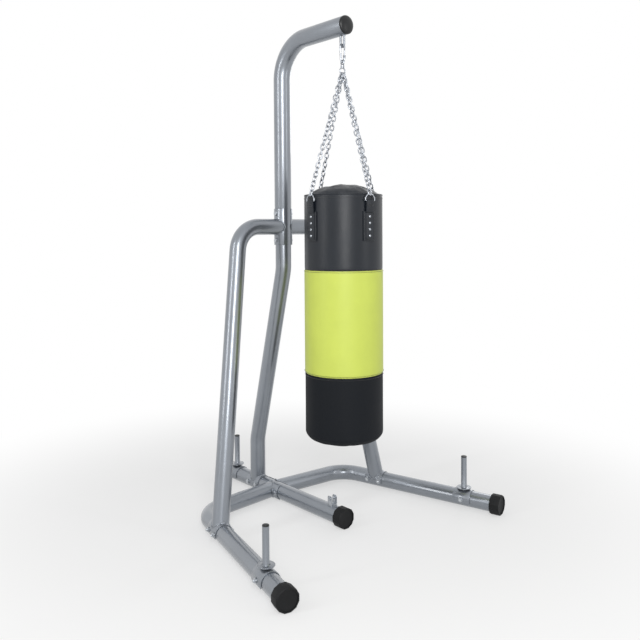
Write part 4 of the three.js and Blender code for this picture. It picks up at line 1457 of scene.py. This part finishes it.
def webbing(s):
    """Strap that comes up from the patch, goes over the D-ring's bar and back down behind it."""
    offset = d_ring_offset(s)
    bar = s.bag_top - D_RING_DROP
    bend = D_RING_WIRE + 0.2 + WEB / 2
    low = s.bag_top - PATCH_TOP_DROP - 5
    middle = Vector((offset, 0, bar))
    over = arc(middle, 0, 180, bend, 12)
    path = [Vector((s.bag_radius + 5.5, 0, low)), Vector((offset + bend - 1, 0, bar - 16)), *over]
    path += [Vector((offset - bend, 0, bar - 16)), Vector((offset - bend, 0, low))]
    bm = bmesh.new()
    _, edges = polyline(bm, [point - BACK * s.strap_width / 2 for point in path])
    push_edges(bm, edges, BACK * s.strap_width)
    bmesh.ops.recalc_face_normals(bm, faces=bm.faces)
    bmesh.ops.solidify(bm, geom=list(bm.faces), thickness=WEB)
    return soften(closed(bm), 0.5, angle=math.radians(60))


def strap(s):
    """Riveted patch of two layers with the webbing that holds the D-ring."""
    top = s.bag_top - PATCH_TOP_DROP
    low = top - PATCH_HEIGHT
    radius = s.bag_radius + s.fit
    base = curved_patch(radius, PATCH_BASE, s.patch_width, low, top)
    cover = curved_patch(radius + PATCH_BASE, PATCH_COVER, s.strap_width, low + 5, top - 6, 0.5)
    return join(base, cover, webbing(s))


THREAD_RADIUS = 0.55
THREAD_LIFT = 0.5


def stitches(points, normals):
    """A row of stitches, each a short thread that dips in at both ends."""
    parts = []
    for start, end, normal in zip(points, points[1:], normals):
        lift = normal * THREAD_LIFT
        path = [start, start.lerp(end, 0.2) + lift, start.lerp(end, 0.65) + lift, start.lerp(end, 0.85)]
        parts.append(wire(path, THREAD_RADIUS, 5))
    return join(*parts)


def wrapped_row(radius, corners, spacing):
    """Points and outward directions of a seam through (distance round, height) corners on the bag."""
    points, normals = [], []
    for (a, low), (b, high) in zip(corners, corners[1:]):
        count = max(1, round(math.hypot(b - a, high - low) / spacing))
        for i in range(count):
            angle = (a + (b - a) * i / count) / radius
            out = Vector((math.cos(angle), math.sin(angle), 0))
            points.append(out * radius + UP * (low + (high - low) * i / count))
            normals.append(out)
    return points, normals


def strap_stitching(s):
    """Seams round the patch, and one across the webbing under the D-ring."""
    top = s.bag_top - PATCH_TOP_DROP
    low = top - PATCH_HEIGHT
    half = s.patch_width / 2 - 4
    radius = s.bag_radius + s.fit + PATCH_BASE
    corners = [(-half, top - 4), (-half, low + 4), (half, low + 4), (half, top - 4), (-half, top - 4)]
    rows = [stitches(*wrapped_row(radius, corners, s.stitch))]
    face = d_ring_offset(s) + D_RING_WIRE + WEB
    for z in (s.bag_top - D_RING_DROP - 14, s.bag_top - D_RING_DROP - 20):
        width = s.strap_width / 2 - 3
        count = round(2 * width / s.stitch)
        row = [Vector((face + 0.2, -width + 2 * width * i / count, z)) for i in range(count + 1)]
        rows.append(stitches(row, [RIGHT] * len(row)))
    return join(*rows)


def rivet_row(s):
    """Domed rivets down the middle of the patch."""
    middle = s.bag_top - PATCH_TOP_DROP - PATCH_HEIGHT / 2
    radius = s.bag_radius + s.fit + PATCH_BASE + PATCH_COVER - RIVET_SINK
    profile = [(0, -1), (RIVET_RADIUS - 0.5, -1), *dome(RIVET_RADIUS, RIVET_HEIGHT, 0, 6)]
    heights = [middle + (i - (RIVETS - 1) / 2) * RIVET_SPACING for i in range(RIVETS)]
    return join(*[lathe(profile, facing(Vector((radius, 0, z)), RIGHT), steps=16) for z in heights])


def d_ring(s):
    """Ring of bent wire, straight under the strap and round above."""
    middle = Vector((d_ring_offset(s), 0, s.bag_top - D_RING_DROP))
    half = D_RING_WIDTH / 2 - D_RING_WIRE
    rise = D_RING_HEIGHT - D_RING_WIRE * 2
    path = [middle - BACK * (half - 3), middle + BACK * (half - 3)]
    for step in range(25):
        angle = math.pi * step / 24
        path.append(middle + BACK * half * math.cos(angle) + UP * (2 + (rise - 2) * math.sin(angle)))
    return wire(path, D_RING_WIRE, 14, looped=True)


def link_mesh(inner, s):
    """One welded link along Z, in the plane of X and Z, as a mesh to copy."""
    bend = s.link_width / 2 - s.chain_wire
    straight = inner / 2 + s.chain_wire - bend
    path = arc(UP * straight, 0, 180, bend, 5) + arc(-UP * straight, 180, 360, bend, 5)
    return mesh_from(wire(path, s.chain_wire, 8, looped=True), "link")


CHAIN_STARTS = {"right": 5.8, "rear": -2.0, "left": -5.8, "front": 2.0}


def chain(name, index, s):
    """Chain leg from the swivel's ring to a D-ring, in the bag's own coordinates."""
    start_x = CHAIN_STARTS[name]
    level = ring_level() - math.sqrt(RING_BEND**2 - start_x**2)
    outward = Matrix.Rotation(index * math.pi / 2, 3, "Z") @ RIGHT
    start = Vector((start_x, 0, level))
    eye = s.bag_top - D_RING_DROP + D_RING_HEIGHT - D_RING_WIRE * 2
    end = outward * d_ring_offset(s) + UP * eye
    span = (end - start).length + SWIVEL_WIRE + D_RING_WIRE
    pitch = span / s.link_count
    direction = (end - start).normalized()
    twist = math.pi / 2 + (math.pi / 2 if index % 2 else math.pi) / (s.link_count - 1)
    side = RIGHT - direction * RIGHT.dot(direction)
    normal = side.normalized()
    mesh = link_mesh(pitch, s)
    bm = bmesh.new()
    for i in range(s.link_count):
        place = start + direction * (pitch * (i + 0.5) - SWIVEL_WIRE)
        turned = Matrix.Rotation(twist * i, 3, direction) @ normal
        basis = Matrix((direction.cross(turned), turned, direction)).transposed().to_4x4()
        known = len(bm.verts)
        bm.from_mesh(mesh)
        bm.verts.ensure_lookup_table()
        bmesh.ops.transform(bm, matrix=Matrix.Translation(place) @ basis, verts=bm.verts[known:])
    bpy.data.meshes.remove(mesh)
    bmesh.ops.recalc_face_normals(bm, faces=bm.faces)
    return bm


class BuildStraps(Step, bpy.types.Operator):
    """Build the four straps with their rivets, stitching, D-rings and chains."""

    bl_idname = "bag_stand.straps"
    bl_label = "Straps and chains"

    def build(self, s):
        for index, name in enumerate(STRAPS):
            add_part(turned_to(strap(s), index), f"{name}_strap", "bag", "black_vinyl")
            add_part(turned_to(d_ring(s), index), f"{name}_d_ring", "bag", "chrome_steel")
            add_part(in_bag(chain(name, index, s)), f"{name}_chain", "bag", "chrome_steel", crease=math.pi)
            add_detail(turned_to(rivet_row(s), index), f"{name}_rivets", "chrome_steel", "chrome_steel")
            seams = turned_to(strap_stitching(s), index)
            add_detail(seams, f"{name}_strap_stitching", "black_vinyl", "thread")


class BuildSeams(Step, bpy.types.Operator):
    """Build the bag's sewn seams: round the rim, along the band and down the back."""

    bl_idname = "bag_stand.seams"
    bl_label = "Bag seams"

    def build(self, s):
        radius = s.bag_radius
        around = math.tau * radius
        rows = []
        levels = (
            (s.bag_top - RIM_FOLD, radius - 0.8),
            (s.lower_seam + 6, radius + s.band_proud - 0.4),
            (s.upper_seam - 6, radius + s.band_proud - 0.4),
            (s.lower_seam - 8, radius - 0.6),
        )
        for z, r in levels:
            rows.append(stitches(*wrapped_row(r, [(0, z), (around * r / radius, z)], s.stitch)))
        back = math.radians(135) * radius
        upright = [(back, s.upper_seam + 10), (back, s.bag_top - RIM_FOLD)]
        rows.append(stitches(*wrapped_row(radius - 0.4, upright, s.stitch)))
        add_detail(in_bag(join(*rows)), "bag_seam_stitching", "black_vinyl", "thread")


# ---- studio ----

CAMERA_PLACE = Vector((-2.007, -2.3715, 1.226))
CAMERA_AZIMUTH = math.radians(-41.45)
CAMERA_PITCH = math.radians(-2.05)
CAMERA_ROLL = math.radians(-0.38)
CAMERA_LENS = 40.34
CAMERA_SHIFT = (0.0039, -0.0995)
LAMPS = {
    # name: (degrees round from the camera, distance, height, width, height of the box, watts), in metres
    "key_softbox": (5, 3.6, 2.1, 1.1, 2.4, 74),
    "left_softbox": (-56, 3.4, 2.0, 0.35, 2.4, 22),
    "right_softbox": (62, 3.4, 1.6, 0.5, 2.0, 9),
    "back_softbox": (150, 3.6, 2.4, 1.4, 1.4, 14),
}
WORLD_LEVEL = 0.42
FLOOR_HALF = 30.0
FLOOR_FADE = (0.7, 2.2)  # the floor turns from shaded to plain background between these distances


def add_camera(scene):
    data = bpy.data.cameras.new("studio_camera")
    data.lens = CAMERA_LENS
    data.sensor_width = 36
    data.shift_x, data.shift_y = CAMERA_SHIFT
    camera = bpy.data.objects.new("studio_camera", data)
    level = Vector((-math.sin(CAMERA_AZIMUTH), math.cos(CAMERA_AZIMUTH), 0))
    forward = level * math.cos(CAMERA_PITCH) + UP * math.sin(CAMERA_PITCH)
    right = forward.cross(UP).normalized()
    upward = right.cross(forward)
    turn = Matrix((right, upward, -forward)).transposed() @ Matrix.Rotation(CAMERA_ROLL, 3, "Z")
    camera.matrix_world = Matrix.Translation(CAMERA_PLACE) @ turn.to_4x4()
    scene.collection.objects.link(camera)
    scene.camera = camera


def add_lamps(scene):
    middle = (cad_box[0] + cad_box[1]) / 2
    for name, (around, distance, height, width, tall, watts) in LAMPS.items():
        angle = CAMERA_AZIMUTH + math.radians(around)
        away = Vector((math.sin(angle), -math.cos(angle), 0)) * distance
        place = Vector((middle.x, middle.y, height)) + away
        data = bpy.data.lights.new(name, "AREA")
        data.shape = "RECTANGLE"
        data.size, data.size_y = width, tall
        data.energy = watts
        lamp = bpy.data.objects.new(name, data)
        aim = Vector((middle.x, middle.y, 1.0)) - place
        lamp.matrix_world = Matrix.Translation(place) @ aim.to_track_quat("-Z", "Y").to_matrix().to_4x4()
        scene.collection.objects.link(lamp)


def seen_directly(tree):
    """1 for camera, glossy and transmission rays, and 0 for the others."""
    path = add_node(tree, "ShaderNodeLightPath")
    rays = [path.outputs[name] for name in ("Is Camera Ray", "Is Glossy Ray", "Is Transmission Ray")]
    first = add_node(tree, "ShaderNodeMath", {"operation": "MAXIMUM"}, {0: rays[0], 1: rays[1]})
    both = add_node(tree, "ShaderNodeMath", {"operation": "MAXIMUM"}, {0: first.outputs[0], 1: rays[2]})
    return both.outputs[0]


def set_world(scene):
    world = bpy.data.worlds.new("studio_world")
    world.use_nodes = True
    tree = world.node_tree
    tree.nodes.clear()
    levels = {"To Min": WORLD_LEVEL, "To Max": 1.0}
    level = add_node(tree, "ShaderNodeMapRange", levels, {"Value": seen_directly(tree)})
    links = {"Strength": level.outputs["Result"]}
    sky = add_node(tree, "ShaderNodeBackground", {"Color": (1, 1, 1, 1)}, links)
    add_node(tree, "ShaderNodeOutputWorld", links={"Surface": sky.outputs["Background"]})
    scene.world = world


def floor_material(finishes):
    """Matt pale floor that shows the object's shadow and turns into the plain background further out."""
    material = empty_material("studio_floor_matt")
    tree = material.node_tree
    place = add_node(tree, "ShaderNodeTexCoord").outputs["Object"]
    away = add_node(tree, "ShaderNodeVectorMath", {"operation": "LENGTH"}, {0: place}).outputs["Value"]
    settings = {"From Min": FLOOR_FADE[0], "From Max": FLOOR_FADE[1], "To Min": 0.5, "To Max": 1.0}
    settings["interpolation_type"] = "SMOOTHSTEP"
    fade = add_node(tree, "ShaderNodeMapRange", settings, {"Value": away}).outputs["Result"]
    share = add_node(tree, "ShaderNodeMath", {"operation": "MULTIPLY"}, {0: fade, 1: seen_directly(tree)})
    matt = add_node(tree, "ShaderNodeBsdfDiffuse", {"Color": (*finishes.floor, 1)})
    plain = add_node(tree, "ShaderNodeEmission", {"Color": (1, 1, 1, 1), "Strength": 1.0})
    links = {"Fac": share.outputs[0], 1: matt.outputs["BSDF"], 2: plain.outputs["Emission"]}
    mixed = add_node(tree, "ShaderNodeMixShader", links=links)
    add_node(tree, "ShaderNodeOutputMaterial", links={"Surface": mixed.outputs["Shader"]})
    return material


def add_floor(scene):
    bm = bmesh.new()
    bmesh.ops.create_grid(bm, x_segments=1, y_segments=1, size=FLOOR_HALF)
    mesh = mesh_from(bm, "studio_floor")
    mesh.materials.append(floor_material(scene.finishes))
    floor = bpy.data.objects.new("studio_floor", mesh)
    scene.collection.objects.link(floor)
    floor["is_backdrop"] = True


class BuildStudio(Step, bpy.types.Operator):
    """Build the camera, the soft lights, the background and the floor."""

    bl_idname = "bag_stand.studio"
    bl_label = "Studio"

    def build(self, _):
        scene = bpy.context.scene
        scene.view_settings.view_transform = "Standard"
        add_camera(scene)
        add_lamps(scene)
        set_world(scene)
        add_floor(scene)


# ---- panel and registration ----

STEPS = (
    BuildStudio,
    BuildBase,
    BuildUprights,
    BuildFittings,
    BuildBolts,
    BuildHanger,
    BuildBagSkin,
    BuildBagTop,
    BuildBagInside,
    BuildStraps,
    BuildSeams,
)


class BagStandPanel(bpy.types.Panel):
    """Lists the building steps."""

    bl_idname = "VIEW3D_PT_bag_stand"
    bl_label = "Punching Bag"
    bl_space_type = "VIEW_3D"
    bl_region_type = "UI"
    bl_category = "Punching Bag"

    def draw(self, context):
        for group in (context.scene.stand_sizes, context.scene.bag_sizes, context.scene.finishes):
            column = self.layout.column(align=True)
            for name in group.__annotations__:
                column.prop(group, name)
        for step in STEPS:
            self.layout.operator(step.bl_idname)


CLASSES = (StandSizes, BagSizes, Finishes, *STEPS, BagStandPanel)


def register():
    for cls in CLASSES:
        bpy.utils.register_class(cls)
    bpy.types.Scene.stand_sizes = PointerProperty(type=StandSizes)
    bpy.types.Scene.bag_sizes = PointerProperty(type=BagSizes)
    bpy.types.Scene.finishes = PointerProperty(type=Finishes)


def unregister():
    del bpy.types.Scene.stand_sizes
    del bpy.types.Scene.bag_sizes
    del bpy.types.Scene.finishes
    for cls in reversed(CLASSES):
        bpy.utils.unregister_class(cls)


def main():
    register()
    bpy.ops.bag_stand.studio()
    bpy.ops.bag_stand.base()
    bpy.ops.bag_stand.uprights()
    bpy.ops.bag_stand.fittings()
    bpy.ops.bag_stand.bolts()
    bpy.ops.bag_stand.hanger()
    bpy.ops.bag_stand.skin()
    bpy.ops.bag_stand.top()
    bpy.ops.bag_stand.inside()
    bpy.ops.bag_stand.straps()
    bpy.ops.bag_stand.seams()
    boxes = {"cad": cad_box, "visual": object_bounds()}
    {name: [list(corner) for corner in box] for name, box in boxes.items()}


if __name__ == "__main__":
    main()
